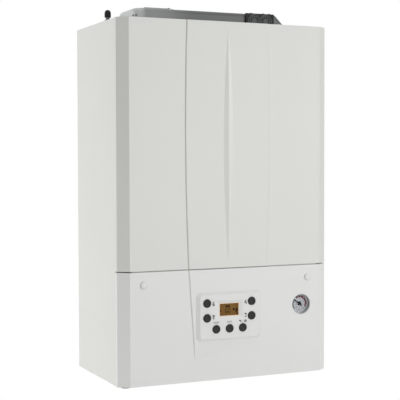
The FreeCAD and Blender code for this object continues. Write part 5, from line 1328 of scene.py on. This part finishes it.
# Dark bars of painted shadow stand for the slots of these screws.
settle("inner_screw_slot_shadows", inner_slot_shadows, "frame", "steel", finish="gauge_black")

box_heads = bmesh.new()
box_slot_shadows = bmesh.new()
add_corner_screws(box_heads, box_slot_shadows, box_low, box_high, 1.0, **BOX_SCREWS)
settle("control_box_screws", box_heads, "control_panel", "steel")
# Dark bars of painted shadow stand for the slots of the box's screws.
settle("control_box_slot_shadows", box_slot_shadows, "control_panel", "steel", finish="gauge_black")
print("ribs and screws inside, control box at", [round(v, 4) for v in box_low])

# %% [markdown]
# A strip of pale foam lies on the upper edge of the control panel and closes most of the seam below the
# front cover. It is one long block with rounded edges, and it tilts with the panel.

# %% Seam strip
SEAM_GAP = 0.002
STRIP_SET = 0.0065
STRIP_DEPTH = 0.008
STRIP_SHORTER = 0.05
STRIP_EDGE = 0.0003
strip = bmesh.new()
add_block(strip, (0.0, CASE_FRONT + STRIP_SET, cover_low.z - SEAM_GAP * 0.56),
          (2.0 * HALF_WIDTH - STRIP_SHORTER, STRIP_DEPTH, SEAM_GAP * 0.8))
round_all(strip, STRIP_EDGE)
settle("seam_strip", strip, "control_panel", "white_plastic", finish="seam_foam")
print("seam strip under", round(cover_low.z, 4))

# %% [markdown]
# The boiler hangs on a wall, so the floor lies well below it. The floor is a pale disc. Camera rays
# see it fade into plain white towards its rim, and the middle keeps the boiler's soft shadow.

# %% Floor
FLOOR_Z = -1.6
FLOOR_RADIUS = 2.4
floor_mesh = bmesh.new()
bmesh.ops.create_circle(floor_mesh, cap_ends=True, segments=96, radius=FLOOR_RADIUS,
                        matrix=Matrix.Translation((0.0, 0.0, FLOOR_Z)))
floor_data = bpy.data.meshes.new("floor")
floor_mesh.to_mesh(floor_data)
floor_mesh.free()
floor = bpy.data.objects.new("floor", floor_data)
scene.collection.objects.link(floor)
floor_paint = Finish("floor_paint", {"Roughness": 0.8})
floor_cloud = floor_paint.noise(2.0, 2.0)
floor_paint.link(colour=floor_paint.blend(floor_cloud, (0.86, 0.86, 0.86, 1.0), (0.9, 0.9, 0.9, 1.0)))
flat_place = floor_paint.node("VectorMath", {"operation": "MULTIPLY"}, {
    0: floor_paint.place, 1: (1.0, 1.0, 0.0)})
distance = floor_paint.node("VectorMath", {"operation": "LENGTH"}, {0: flat_place}, out="Value")
fade = floor_paint.ramp(distance, 0.5 * FLOOR_RADIUS, 0.95 * FLOOR_RADIUS)
plain = floor_paint.node("Emission", {}, {"Color": WHITE, "Strength": 1.0})
look = floor_paint.node("MixShader", {}, {
    0: fade * white_rays(floor_paint), 1: Wire(floor_paint.tree, floor_paint.shader.outputs[0]), 2: plain})
floor_paint.tree.links.new(look.socket, floor_paint.output.inputs["Surface"])
floor_data.materials.append(floor_paint.material)
print("floor at", FLOOR_Z)
